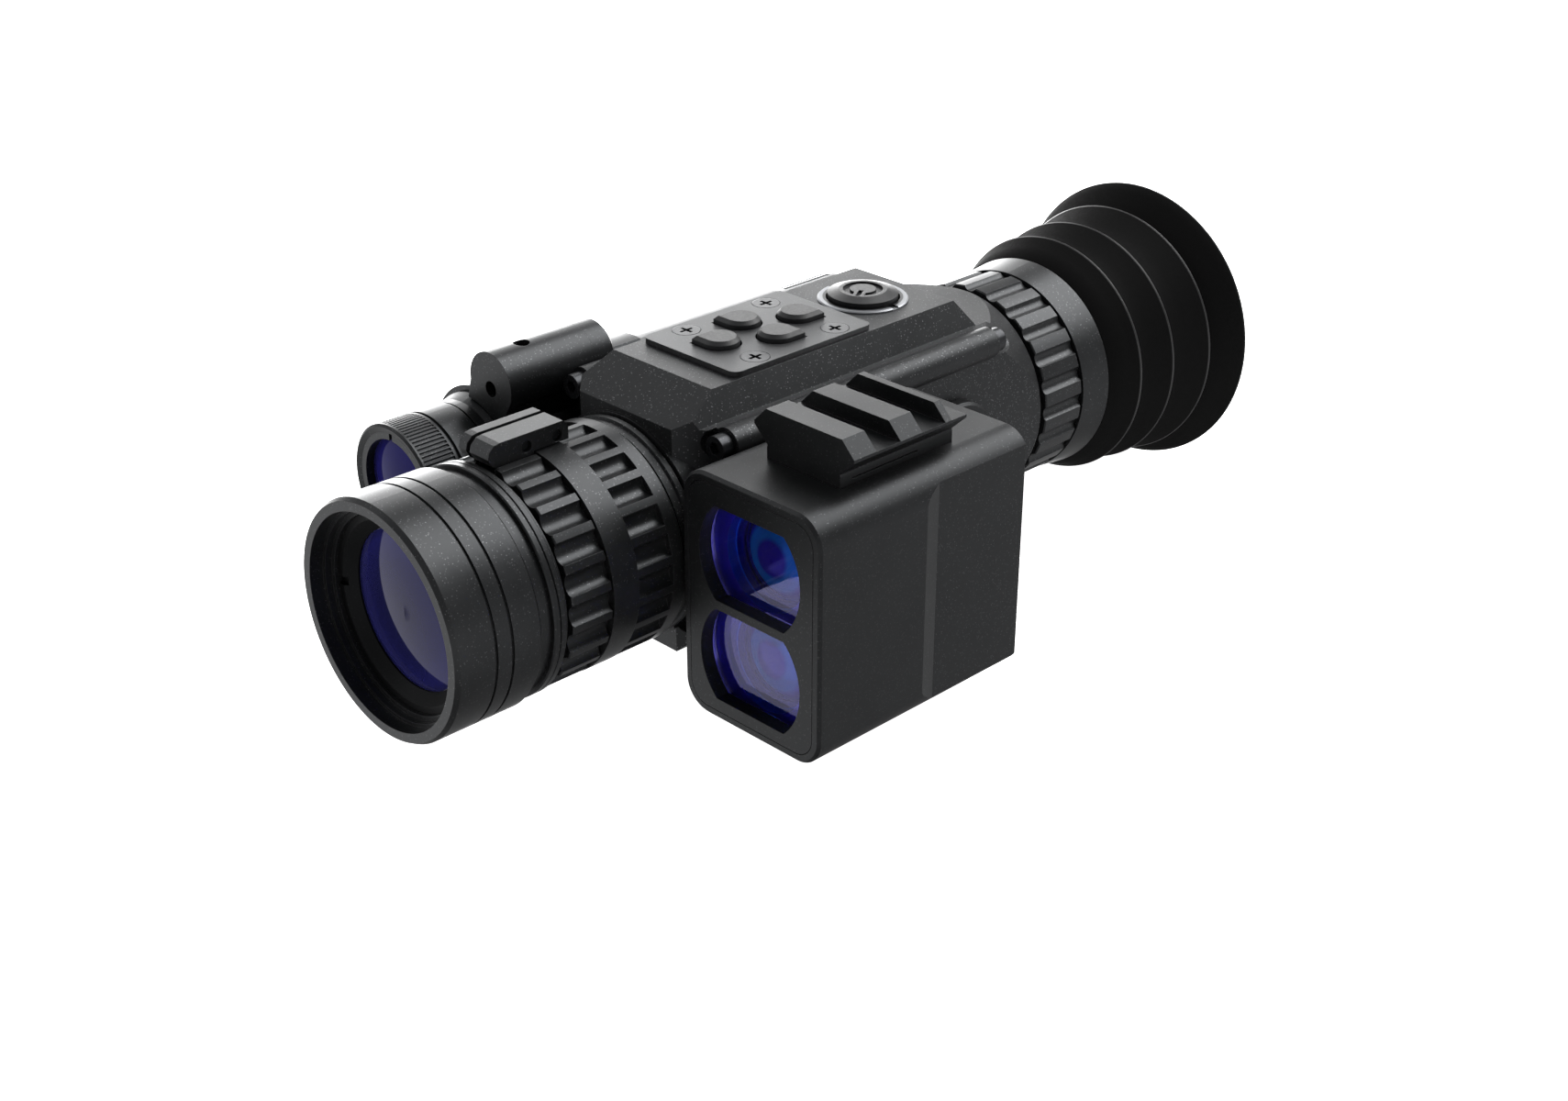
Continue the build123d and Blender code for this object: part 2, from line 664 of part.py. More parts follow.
def make_port_cap():
    with BuildPart() as port_cap:
        crosswise(BODY_HALF_W + 0.05, 21.2, PORT_D, PORT_H, PORT_CAP_R)
        chamfer(port_cap.faces().sort_by(Axis.X)[-1].edges(), 0.5)
        crosswise(20.9, 21.5, PORT_D, PORT_H, PORT_CAP_R - 1.8, Mode.SUBTRACT)
        crosswise(20.5, 21.2, PORT_D, PORT_H, PORT_CAP_R - 2.3)
        block(20.5, 21.5, PORT_D - 4.5, PORT_D + 4.5, PORT_H - 0.7, PORT_H + 0.7, Mode.SUBTRACT)
        crosswise(17.4, BODY_HALF_W + 0.05, PORT_D, PORT_H, PORT_R - RUN_FIT)
    port_cap.part.label = "port_cap"
    export_step(port_cap.part, "parts/port_cap.step")


# Inside the body


def make_insides():
    with BuildPart() as sensor_board:
        sleeve(54.6, 56.2, 16.4)
        block(-7.0, 7.0, 53.0, 54.6, -5.5, 5.5)
    sensor_board.part.label = "sensor_board"
    export_step(sensor_board.part, "parts/sensor_board.step")
    with BuildPart() as main_board:
        block(-14.0, 14.0, 59.0, 112.0, 6.0, 7.6)
        block(-5.0, 5.0, 66.0, 76.0, 7.6, 9.0)
        block(-9.0, -2.0, 84.0, 96.0, 7.6, 9.6)
        block(3.0, 9.0, 86.0, 92.0, 7.6, 8.8)
    main_board.part.label = "main_board"
    export_step(main_board.part, "parts/main_board.step")
    with BuildPart() as battery_cell:
        sleeve(63.0, 97.0, 9.1, 0.0, 0.0, -6.8)
        sleeve(97.0, 98.2, 3.0, 0.0, 0.0, -6.8)
    battery_cell.part.label = "battery_cell"
    export_step(battery_cell.part, "parts/battery_cell.step")
    with BuildPart() as battery_cradle:
        sleeve(63.0, 97.0, BORE_R)
        block(-20, 20, 60, 100, -8.5, 20, Mode.SUBTRACT)
        sleeve(62.0, 98.0, 9.1, 0.0, 0.0, -6.8, Mode.SUBTRACT)
        block(-20, -BORE_R * 0.82, 60, 100, -20, 0, Mode.SUBTRACT)
    battery_cradle.part.label = "battery_cradle"
    export_step(battery_cradle.part, "parts/battery_cradle.step")
    with BuildPart() as display_module:
        sleeve(115.0, 118.0, 14.6)
        block(-8.0, 8.0, 118.0, 120.6, -6.0, 6.0)
    display_module.part.label = "display_module"
    export_step(display_module.part, "parts/display_module.step")


# Eyepiece


def make_eyepiece():
    middle = sum(OCULAR_D) / 2
    cell_r = EYE_BORE_R - RUN_FIT
    with BuildPart() as eyepiece_tube:
        sleeve(122.0, 150.6, EYE_TUBE_R, EYE_BORE_R)
        slot_r = PIN_R + LOOSE_FIT
        block(-slot_r, slot_r, middle - 1.6, middle + 1.6, -17, -12, Mode.SUBTRACT)
        for end in (-1.6, 1.6):
            upright(0, middle + end, -17, -12, slot_r, Mode.SUBTRACT)
    eyepiece_tube.part.label = "eyepiece_tube"
    export_step(eyepiece_tube.part, "parts/eyepiece_tube.step")
    d0, d1 = DIOPTER_D
    bore = EYE_TUBE_R + RUN_FIT
    with BuildPart() as diopter_ring:
        turn(
            [
                (d0, bore),
                (d0, DIOPTER_R - 0.2),
                (d0 + 0.2, DIOPTER_R),
                (d1 - 0.2, DIOPTER_R),
                (d1, DIOPTER_R - 0.2),
                (d1, bore),
                (middle + 3.1, bore),
                (middle + 3.1, 17.3),
                (middle - 3.1, 17.3),
                (middle - 3.1, bore),
            ]
        )
        flutes(d0 - 1, d1 + 1, DIOPTER_R, 0.75, 1.6)
    diopter_ring.part.label = "diopter_ring"
    export_step(diopter_ring.part, "parts/diopter_ring.step")
    with BuildPart() as ocular_cell:
        sleeve(OCULAR_D[0], OCULAR_D[1], cell_r, 11.4)
        upright(0, middle, -16.8, -12.0, PIN_R)
    ocular_cell.part.label = "ocular_cell"
    export_step(ocular_cell.part, "parts/ocular_cell.step")
    with BuildPart() as ocular_lens:
        lens(OCULAR_D[0] + 2.0, OCULAR_D[1] - 1.0, 11.4, 11.4, 1.6)
    ocular_lens.part.label = "ocular_lens"
    export_step(ocular_lens.part, "parts/ocular_lens.step")
    with BuildPart() as eyepiece_cone:
        turn(
            [
                (CONE_D[0], EYE_TUBE_R),
                (CONE_D[0], 19.5),
                (CONE_D[1], 20.2),
                (CONE_D[1], 17.6),
                (155.0, 17.6),
                (155.0, EYE_BORE_R),
                (150.6, EYE_BORE_R),
                (150.6, EYE_TUBE_R),
            ]
        )
    eyepiece_cone.part.label = "eyepiece_cone"
    export_step(eyepiece_cone.part, "parts/eyepiece_cone.step")
    with BuildPart() as eye_lens:
        sleeve(148.0, 152.0, EYE_BORE_R)
    eye_lens.part.label = "eye_lens"
    export_step(eye_lens.part, "parts/eye_lens.step")
    with BuildPart() as eyecup:
        turn(
            [
                (149.8, 17.6),
                (149.8, 20.2),
                (155.9, 22.8),
                (156.3, 23.0),
                (156.6, 22.8),
                (157.3, 20.7),
                (164.9, 23.5),
                (165.3, 23.7),
                (165.6, 23.5),
                (166.3, 21.4),
                (175.0, 24.5),
                (175.4, 24.7),
                (175.7, 24.5),
                (176.4, 22.5),
                (182.3, 27.5),
                (182.7, 27.7),
                (182.9, 27.3),
                (182.6, 26.5),
                (179.5, 23.2),
                (176.0, 20.9),
                (167.0, 19.7),
                (157.0, 18.8),
                (155.0, 18.6),
                (155.0, 17.6),
            ]
        )
    eyecup.part.label = "eyecup"
    export_step(eyecup.part, "parts/eyecup.step")


# Rangefinder


def window_cut(h, d0, d1, grow, mode):
    """Round opening with flat top and bottom in the front panel."""
    with BuildSketch(face_plane(d0)) as opening:
        with Locations((WINDOW_X, h)):
            Circle(WINDOW_R + grow)
            Rectangle(60, 2 * (WINDOW_HALF_H + grow), mode=Mode.INTERSECT)
    extrude(opening.sketch, amount=d0 - d1, mode=mode)


def make_lrf():
    x0, x1 = LRF_X
    h0, h1 = LRF_H
    d0, d1 = LRF_D
    gap = PANEL_INSET
    rim = PANEL_INSET + PANEL_GAP
    wall = 2.4
    with BuildPart() as lrf_housing:
        rounded_bar(x0, x1, d0, d1, h0, h1, LRF_CORNER)
        chamfer(lrf_housing.faces().sort_by(Axis.Y)[0].edges(), 0.5)
        with BuildSketch(Plane.XY.offset(AXIS_Z + h0 - 1)) as step:
            with BuildLine():
                y0, y1, y2 = (FRONT_Y + d for d in (*LRF_STEP_D, d1 + 1))
                inner = x1 - LRF_STEP
                Polyline((x1, y0), (x1 + 1, y0), (x1 + 1, y2), (inner, y2), (inner, y1), close=True)
            make_face()
        extrude(step.sketch, amount=h1 - h0 + 2, mode=Mode.SUBTRACT)
        for edge, start, end in ((gap, d0 - 1, d0 + PANEL_T), (wall, d0, d1 - 2.0)):
            corner = LRF_CORNER - edge
            rounded_bar(x0 + edge, x1 - edge, start, end, h0 + edge, h1 - edge, corner, Mode.SUBTRACT)
        block(BODY_HALF_W, x0 + 1.0, LRF_SCREW_D - 8, LRF_SCREW_D + 8, -11.9, 12.9)
        for h in LRF_SCREW_H:
            crosswise(x0 - 2, x0 + wall + 1, LRF_SCREW_D, h, 1.65, Mode.SUBTRACT)
        for d in RAIL_SCREW_D:
            upright(RAIL_X, d, h1 - wall - 1, h1 + 1, 1.65, Mode.SUBTRACT)
    lrf_housing.part.label = "lrf_housing"
    export_step(lrf_housing.part, "parts/lrf_housing.step")
    with BuildPart() as lrf_front_panel:
        rounded_bar(x0 + rim, x1 - rim, d0, d0 + PANEL_T, h0 + rim, h1 - rim, LRF_CORNER - rim)
        for h in WINDOW_H:
            window_cut(h, d0 - 1, d0 + PANEL_T + 1, 0.0, Mode.SUBTRACT)
    lrf_front_panel.part.label = "lrf_front_panel"
    export_step(lrf_front_panel.part, "parts/lrf_front_panel.step")
    with BuildPart() as lrf_windows:
        for h in WINDOW_H:
            window_cut(h, d0 + PANEL_T, d0 + PANEL_T + 1.5, 0.4, Mode.ADD)
    lrf_windows.part.label = "lrf_windows"
    export_step(lrf_windows.part, "parts/lrf_windows.step")
    back = d0 + PANEL_T + 1.5
    with BuildPart() as lrf_lenses:
        for h in WINDOW_H:
            lens(back + 3.4, back + 6.0, 7.4, 7.0, 2.2, WINDOW_X, h)
    lrf_lenses.part.label = "lrf_lenses"
    export_step(lrf_lenses.part, "parts/lrf_lenses.step")
    with BuildPart() as lrf_module:
        block(x0 + wall, x1 - wall, back + 18, back + 19.6, h0 + 6, h1 - 6)
        block(30.0, 40.0, back + 19.6, back + 24, -8, 6)
        block(x0 + wall + 0.3, x1 - wall - 0.3, back + 0.3, back + 2.0, h0 + wall + 0.4, h1 - wall - 0.4)
        for h in WINDOW_H:
            sleeve(back + 2.0, back + 18, 8.4, 7.4, WINDOW_X, h)
            sleeve(back, back + 4, 8.4, 0.0, WINDOW_X, h, Mode.SUBTRACT)
            sleeve(back + 2.0, back + 4, 9.0, 8.0, WINDOW_X, h)
            sleeve(back + 3.0, back + 4, 8.4, 7.4, WINDOW_X, h)
    lrf_module.part.label = "lrf_module"
    export_step(lrf_module.part, "parts/lrf_module.step")
    with BuildPart() as lrf_screws:
        for h in LRF_SCREW_H:
            crosswise(16.4, x0 + wall, LRF_SCREW_D, h, 1.5)
            crosswise(x0 + wall, x0 + wall + 1.6, LRF_SCREW_D, h, 2.7)
        for d in RAIL_SCREW_D:
            upright(RAIL_X, d, h1 - wall, h1 + 3.1, 1.5)
            upright(RAIL_X, d, h1 - wall - 1.6, h1 - wall, 2.7)
    lrf_screws.part.label = "lrf_screws"
    export_step(lrf_screws.part, "parts/lrf_screws.step")


def make_rail():
    h1 = LRF_H[1]
    top = RAIL_TOP_H
    middle = sum(RAIL_D) / 2
    half = [
        (7.8, h1),
        (7.8, top - 6.2),
        (7.7, top - 5.8),
        (10.6, top - 3.1),
        (10.6, top - 2.6),
        (8.0, top),
    ]
    outline = [(RAIL_X + x, h) for x, h in half] + [(RAIL_X - x, h) for x, h in reversed(half)]
    with BuildPart() as lrf_rail:
        prism(outline, RAIL_D[0], RAIL_D[1])
        for side in SIDES:
            centre = middle + side * RAIL_PITCH / 2
            start, end = centre - RAIL_SLOT / 2, centre + RAIL_SLOT / 2
            block(RAIL_X - 12, RAIL_X + 12, start, end, top - 2.6, top + 1, Mode.SUBTRACT)
        block(RAIL_X - 12, RAIL_X + 12, RAIL_D[1] - 3.4, RAIL_D[1] + 1, top - 2.6, top + 1, Mode.SUBTRACT)
        start = RAIL_D[0] + 2.6
        block(RAIL_X + 7.5, RAIL_X + 8, start, start + 14.4, h1 + 0.9, h1 + 1.1, Mode.SUBTRACT)
        for d in RAIL_SCREW_D:
            upright(RAIL_X, d, h1 - 1, h1 + 4.5, 1.5, Mode.SUBTRACT)
    lrf_rail.part.label = "lrf_rail"
    export_step(lrf_rail.part, "parts/lrf_rail.step")


# Illuminator


def make_illuminator():
    with BuildPart() as ir_head:
        turn(
            [
                (27.0, 9.6),
                (26.6, 10.6),
                (26.9, IR_HEAD_R),
                (33.6, IR_HEAD_R),
                (33.6, 10.6),
                (34.2, 10.6),
                (34.2, IR_HEAD_R),
                (39.6, IR_HEAD_R),
                (39.6, IR_SPIGOT_R + RUN_FIT),
                (33.4, IR_SPIGOT_R + RUN_FIT),
                (33.4, 9.6),
            ],
            IR_X,
            IR_H,
        )
        flutes(27.3, 33.1, IR_HEAD_R, 0.25, 0.25, IR_KNURL, IR_X, IR_H)
    ir_head.part.label = "ir_head"
    export_step(ir_head.part, "parts/ir_head.step")
    with BuildPart() as ir_retainer:
        sleeve(27.0, 28.6, 9.6, 8.4, IR_X, IR_H)
        block(IR_X - 0.6, IR_X + 0.2, 26.5, 28.0, IR_H + 7, IR_H + 10, Mode.SUBTRACT)
    ir_retainer.part.label = "ir_retainer"
    export_step(ir_retainer.part, "parts/ir_retainer.step")
    with BuildPart() as ir_lens:
        lens(28.6, 32.0, 9.6, 8.2, 1.0, IR_X, IR_H)
    ir_lens.part.label = "ir_lens"
    export_step(ir_lens.part, "parts/ir_lens.step")
    with BuildPart() as ir_emitter:
        sleeve(37.0, 45.0, 7.96, 6.6, IR_X, IR_H)
        sleeve(37.0, 38.2, 6.6, 0.0, IR_X, IR_H)
        block(IR_X - 1.6, IR_X + 1.6, 36.4, 37.0, IR_H - 1.6, IR_H + 1.6)
    ir_emitter.part.label = "ir_emitter"
    export_step(ir_emitter.part, "parts/ir_emitter.step")
    with BuildPart() as ir_body:
        turn(
            [
                (34.6, 8.0),
                (34.6, IR_SPIGOT_R),
                (39.9, IR_SPIGOT_R),
                (39.9, IR_HEAD_R),
                (41.6, IR_HEAD_R),
                (44.0, IR_BODY_R),
                (116.0, IR_BODY_R),
                (117.0, IR_HEAD_R),
                (117.0, 10.2),
                (124.0, 10.2),
                (124.0, IR_BORE_R),
                (48.0, IR_BORE_R),
                (48.0, 8.0),
            ],
            IR_X,
            IR_H,
        )
    ir_body.part.label = "ir_body"
    export_step(ir_body.part, "parts/ir_body.step")
    with BuildPart() as ir_battery:
        sleeve(50.0, 115.0, 9.1, 0.0, IR_X, IR_H)
        sleeve(48.8, 50.0, 3.0, 0.0, IR_X, IR_H)
    ir_battery.part.label = "ir_battery"
    export_step(ir_battery.part, "parts/ir_battery.step")
    with BuildPart() as ir_tail_cap:
        turn(
            [
                (117.3, 10.2 + RUN_FIT),
                (117.3, IR_CAP_R - 0.3),
                (117.6, IR_CAP_R),
                (132.0, IR_CAP_R),
                (133.0, IR_CAP_R - 1.0),
                (133.0, 5.3),
                (129.0, 5.3),
                (129.0, 6.6),
                (126.5, 6.6),
                (126.5, 10.2 + RUN_FIT),
            ],
            IR_X,
            IR_H,
        )
        flutes(119.0, 131.0, IR_CAP_R, 0.35, 0.5, 40, IR_X, IR_H)
    ir_tail_cap.part.label = "ir_tail_cap"
    export_step(ir_tail_cap.part, "parts/ir_tail_cap.step")
    with BuildPart() as ir_tail_button:
        sleeve(127.4, 128.9, 6.2, 0.0, IR_X, IR_H)
        sleeve(128.9, 134.0, 5.0, 0.0, IR_X, IR_H)
    ir_tail_button.part.label = "ir_tail_button"
    export_step(ir_tail_button.part, "parts/ir_tail_button.step")


def make_bracket():
    with BuildPart() as ir_bracket:
        block(-25.5, -BODY_HALF_W, 58.5, 79.5, -7.0, 14.8)
        sleeve(58.5, 79.5, 12.9, 0.0, IR_X, IR_H)
        sleeve(57.0, 81.0, IR_BODY_R, 0.0, IR_X, IR_H, Mode.SUBTRACT)
        sleeve(57.0, 81.0, POINTER_R + 0.3, 0.0, POINTER_X, POINTER_H, Mode.SUBTRACT)
        sleeve(57.0, 81.0, ROD_R, 0.0, -ROD_X, ROD_H, Mode.SUBTRACT)
        for d in BRACKET_SCREW_D:
            crosswise(-26.0, -18.0, d, BRACKET_SCREW_H, SCREW_R + 0.15, Mode.SUBTRACT)
            crosswise(-27.0, -22.0, d, BRACKET_SCREW_H, HEAD_R + 0.1, Mode.SUBTRACT)
    ir_bracket.part.label = "ir_bracket"
    export_step(ir_bracket.part, "parts/ir_bracket.step")
    with BuildPart() as bracket_screws:
        for d in BRACKET_SCREW_D:
            crosswise(-22.0, -16.2, d, BRACKET_SCREW_H, SCREW_R)
            crosswise(-23.9, -22.0, d, BRACKET_SCREW_H, HEAD_R)
    bracket_screws.part.label = "bracket_screws"
    export_step(bracket_screws.part, "parts/bracket_screws.step")


def make_pointer():
    seam = 61.0
    with BuildPart() as pointer_housing:
        sleeve(POINTER_D[0], seam, POINTER_R, 0.0, POINTER_X, POINTER_H)
        saddle = [
            (POINTER_X - 5.3, POINTER_H),
            (POINTER_X - 7.2, 11.5),
            (POINTER_X + 3.0, 11.0),
            (POINTER_X + 4.9, POINTER_H),
        ]
        prism(saddle, POINTER_D[0], 57.0)
        sleeve(POINTER_D[0] + 2.0, 57.0, 12.7, 0.0, IR_X, IR_H)
        sleeve(POINTER_D[0] - 1, 62.0, IR_BODY_R, 0.0, IR_X, IR_H, Mode.SUBTRACT)
        sleeve(POINTER_D[0] - 1, POINTER_D[0] + 12.0, 1.4, 0.0, POINTER_X, POINTER_H - 1.0, Mode.SUBTRACT)
        sleeve(POINTER_D[0] + 8.0, seam + 1, 3.4, 0.0, POINTER_X, POINTER_H, Mode.SUBTRACT)
        upright(POINTER_X, 49.6, POINTER_H + 2.0, POINTER_H + 8, 1.4, Mode.SUBTRACT)
    pointer_housing.part.label = "pointer_housing"
    export_step(pointer_housing.part, "parts/pointer_housing.step")
    with BuildPart() as pointer_cap:
        sleeve(seam, POINTER_D[1], POINTER_R, 0.0, POINTER_X, POINTER_H)
        sleeve(seam - 2.0, seam, 3.4, 0.0, POINTER_X, POINTER_H)
        chamfer(pointer_cap.faces().sort_by(Axis.Y)[-1].edges(), 0.5)
    pointer_cap.part.label = "pointer_cap"
    export_step(pointer_cap.part, "parts/pointer_cap.step")
    with BuildPart() as pointer_screw:
        upright(POINTER_X, 49.6, POINTER_H + 2.2, POINTER_H + 4.4, 1.1)
    pointer_screw.part.label = "pointer_screw"
    export_step(pointer_screw.part, "parts/pointer_screw.step")


# Foot


def make_foot():
    with BuildPart() as foot_plate:
        with BuildSketch(Plane(place(0, sum(FOOT_D) / 2, -AXIS_Z))):
            RectangleRounded(2 * FOOT_HALF_W, FOOT_D[1] - FOOT_D[0], 3)
        extrude(amount=AXIS_Z - BODY_HALF_H)
        upright(0, -FRONT_Y, -AXIS_Z - 1, -BODY_HALF_H + 1, TRIPOD_R, Mode.SUBTRACT)
        for x, d in FOOT_BOLTS:
            upright(x, d, -AXIS_Z - 1, -BODY_HALF_H + 1, FOOT_BOLT_R, Mode.SUBTRACT)
        for x, d in FOOT_SCREWS:
            upright(x, d, -AXIS_Z - 1, -BODY_HALF_H + 1, 1.65, Mode.SUBTRACT)
            upright(x, d, -AXIS_Z - 1, -AXIS_Z + 2.4, 3.0, Mode.SUBTRACT)
    foot_plate.part.label = "foot_plate"
    export_step(foot_plate.part, "parts/foot_plate.step")
    with BuildPart() as foot_screws:
        for x, d in FOOT_SCREWS:
            upright(x, d, -AXIS_Z + 2.4, -BODY_HALF_H + 3.2, 1.5)
            upright(x, d, -AXIS_Z + 0.4, -AXIS_Z + 2.4, 2.75)
    foot_screws.part.label = "foot_screws"
    export_step(foot_screws.part, "parts/foot_screws.step")


os.makedirs("parts", exist_ok=True)
make_hood()
make_flange_ring()
make_lens_retainer()
make_front_lens()
make_objective_tube()
make_focus_cell()
make_focus_lens()
make_focus_ring()
make_focus_lever()
make_lever_screws()
make_front_housing()
make_main_housing()
make_rear_housing()
make_housing_screws()
make_control_plate()
make_plate_screws()
make_keys()
make_key_board()
make_power()
make_port_cap()
make_insides()
make_eyepiece()
make_lrf()
make_rail()
make_illuminator()
make_bracket()
make_pointer()
make_foot()
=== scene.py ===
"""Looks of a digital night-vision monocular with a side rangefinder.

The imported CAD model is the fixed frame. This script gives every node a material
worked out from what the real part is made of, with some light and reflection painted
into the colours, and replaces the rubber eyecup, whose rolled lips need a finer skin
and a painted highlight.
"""

import json
import logging
import math
from dataclasses import dataclass, field
from enum import Enum
from typing import Any

import bmesh
import bpy
import numpy as np
from mathutils import Matrix, Vector

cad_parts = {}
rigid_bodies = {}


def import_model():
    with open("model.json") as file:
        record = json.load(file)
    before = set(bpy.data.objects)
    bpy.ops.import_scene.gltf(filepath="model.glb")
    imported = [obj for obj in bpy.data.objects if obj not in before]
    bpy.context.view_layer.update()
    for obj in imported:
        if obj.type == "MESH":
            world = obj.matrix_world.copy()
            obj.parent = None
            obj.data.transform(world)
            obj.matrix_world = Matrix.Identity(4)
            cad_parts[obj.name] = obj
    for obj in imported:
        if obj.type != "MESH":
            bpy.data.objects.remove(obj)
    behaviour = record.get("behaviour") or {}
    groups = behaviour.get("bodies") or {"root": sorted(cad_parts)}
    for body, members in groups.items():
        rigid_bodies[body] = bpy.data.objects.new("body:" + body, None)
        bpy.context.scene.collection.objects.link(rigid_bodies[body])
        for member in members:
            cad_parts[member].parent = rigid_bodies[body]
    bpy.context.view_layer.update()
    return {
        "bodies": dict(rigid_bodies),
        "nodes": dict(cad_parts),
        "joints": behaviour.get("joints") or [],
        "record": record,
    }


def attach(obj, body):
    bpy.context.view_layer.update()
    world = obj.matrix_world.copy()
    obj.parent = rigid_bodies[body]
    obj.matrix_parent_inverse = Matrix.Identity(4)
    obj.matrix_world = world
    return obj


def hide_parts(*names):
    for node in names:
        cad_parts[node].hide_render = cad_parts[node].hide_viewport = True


LOG = logging.getLogger("monocular")
MM = 0.001
AXIS_HEIGHT = 25.0 * MM
FRONT_Y = -86.0 * MM

# Axes of round pieces, as (x, d, h) in millimetres: d is the distance behind the
# hood's front face and h the height over the optical axis.
OPTICAL_AXIS = (0.0, 0.0, 0.0)
POWER_AXIS = (0.0, 104.2, 0.0)
TORCH_AXIS = (-32.9, 0.0, 2.5)
RANGER_AXIS = (34.4, 0.0, -2.825)
RANGER_TWIN_MM = 8.825

CLOUD_MM = 9.0
# Pale grey painted into a few grains of blasted metal as glints.
PAINTED_GLINT_HEX = "b4b5b8"
SHARP_DEGREES = 50.0


def srgb(hex_code: str) -> tuple[float, float, float, float]:
    """Turn an sRGB hex colour into linear values.

    A channel v up to 0.04045 becomes v / 12.92, and a larger one becomes
    ((v + 0.055) / 1.055)^2.4.

    Args:
        hex_code: Six hex digits.

    Returns:
        Linear red, green and blue, then an alpha of one.
    """
    channels = []
    for start in (0, 2, 4):
        value = int(hex_code[start : start + 2], 16) / 255.0
        channels.append(value / 12.92 if value <= 0.04045 else ((value + 0.055) / 1.055) ** 2.4)
    return (channels[0], channels[1], channels[2], 1.0)


def add_node(tree: Any, kind: str, settings: dict[str, Any], links: dict[str, Any]) -> Any:
    """Add one shader node with its settings, socket values and links.

    Args:
        tree: Node tree that takes the node.
        kind: Node type name.
        settings: Attribute or input socket values; a socket is named "in:Name".
        links: Input socket name to the output socket that feeds it.

    Returns:
        The new node.
    """
    made = tree.nodes.new(kind)
    for key, value in settings.items():
        if key.startswith("in:"):
            name = key[3:]
            socket = made.inputs[int(name)] if name.isdigit() else made.inputs[name]
            socket.default_value = value
        else:
            setattr(made, key, value)
    for key, source in links.items():
        socket = made.inputs[int(key)] if key.isdigit() else made.inputs[key]
        tree.links.new(source, socket)
    return made


def per_metre(size_mm: float) -> float:
    """Texture scale whose cells are size_mm across: 1000 / size."""
    return 1000.0 / size_mm


def zone_colour(
    tree: Any,
    spot: Any,
    centre_mm: tuple[float, float, float],
    keep: tuple[float, float, float],
    zones: tuple[tuple[float, str], ...],
    wander_mm: float = 0.0,
    twin_mm: float = 0.0,
) -> Any:
    """Colour that changes with the distance from an axis.

    The distance is sqrt(x^2 + y^2 + (|z| - twin)^2), where x, y and z are measured
    from the centre and multiplied by keep, which drops the axis's own direction.
    A twin distance puts one centre above and one below. Noise moves each border
    by up to half of wander_mm.

    Args:
        tree: Node tree that takes the nodes.
        spot: Socket with the object coordinates.
        centre_mm: Point on the axis, as (x, d, h).
        keep: One for each direction that counts and zero for the other.
        zones: Distance in millimetres and colour of each stop, inside first.
        wander_mm: How far the borders wander.
        twin_mm: Half the distance between twin centres.

    Returns:
        The socket with the colour.
    """
    x, d, h = (v * MM for v in centre_mm)
    offset = add_node(
        tree,
        "ShaderNodeVectorMath",
        {"operation": "SUBTRACT", "in:1": (x, FRONT_Y + d, AXIS_HEIGHT + h)},
        {"0": spot},
    )
    kept = add_node(
        tree, "ShaderNodeVectorMath", {"operation": "MULTIPLY", "in:1": keep}, {"0": offset.outputs["Vector"]}
    )
    folded = add_node(tree, "ShaderNodeVectorMath", {"operation": "ABSOLUTE"}, {"0": kept.outputs["Vector"]})
    centred = add_node(
        tree,
        "ShaderNodeVectorMath",
        {"operation": "SUBTRACT", "in:1": (0.0, 0.0, twin_mm * MM)},
        {"0": folded.outputs["Vector"]},
    )
    away = add_node(tree, "ShaderNodeVectorMath", {"operation": "LENGTH"}, {"0": centred.outputs["Vector"]})
    noise = add_node(
        tree, "ShaderNodeTexNoise", {"in:Scale": per_metre(CLOUD_MM), "in:Detail": 1.0}, {"Vector": spot}
    )
    moved = add_node(
        tree,
        "ShaderNodeMath",
        {"operation": "MULTIPLY_ADD", "in:1": wander_mm * MM},
        {"0": noise.outputs["Fac"], "2": away.outputs["Value"]},
    )
    start, end = (stop * MM + wander_mm * MM / 2 for stop in (zones[0][0], zones[-1][0]))
    share = add_node(tree, "ShaderNodeMapRange", {"in:1": start, "in:2": end}, {"Value": moved.outputs[0]})
    ramp = add_node(tree, "ShaderNodeValToRGB", {}, {"Fac": share.outputs["Result"]})
    span = zones[-1][0] - zones[0][0]
    stops = ramp.color_ramp.elements
    stops[0].position, stops[0].color = 0.0, srgb(zones[0][1])
    stops[1].position, stops[1].color = 1.0, srgb(zones[-1][1])
    for place, code in zones[1:-1]:
        stops.new((place - zones[0][0]) / span).color = srgb(code)
    return ramp.outputs["Color"]


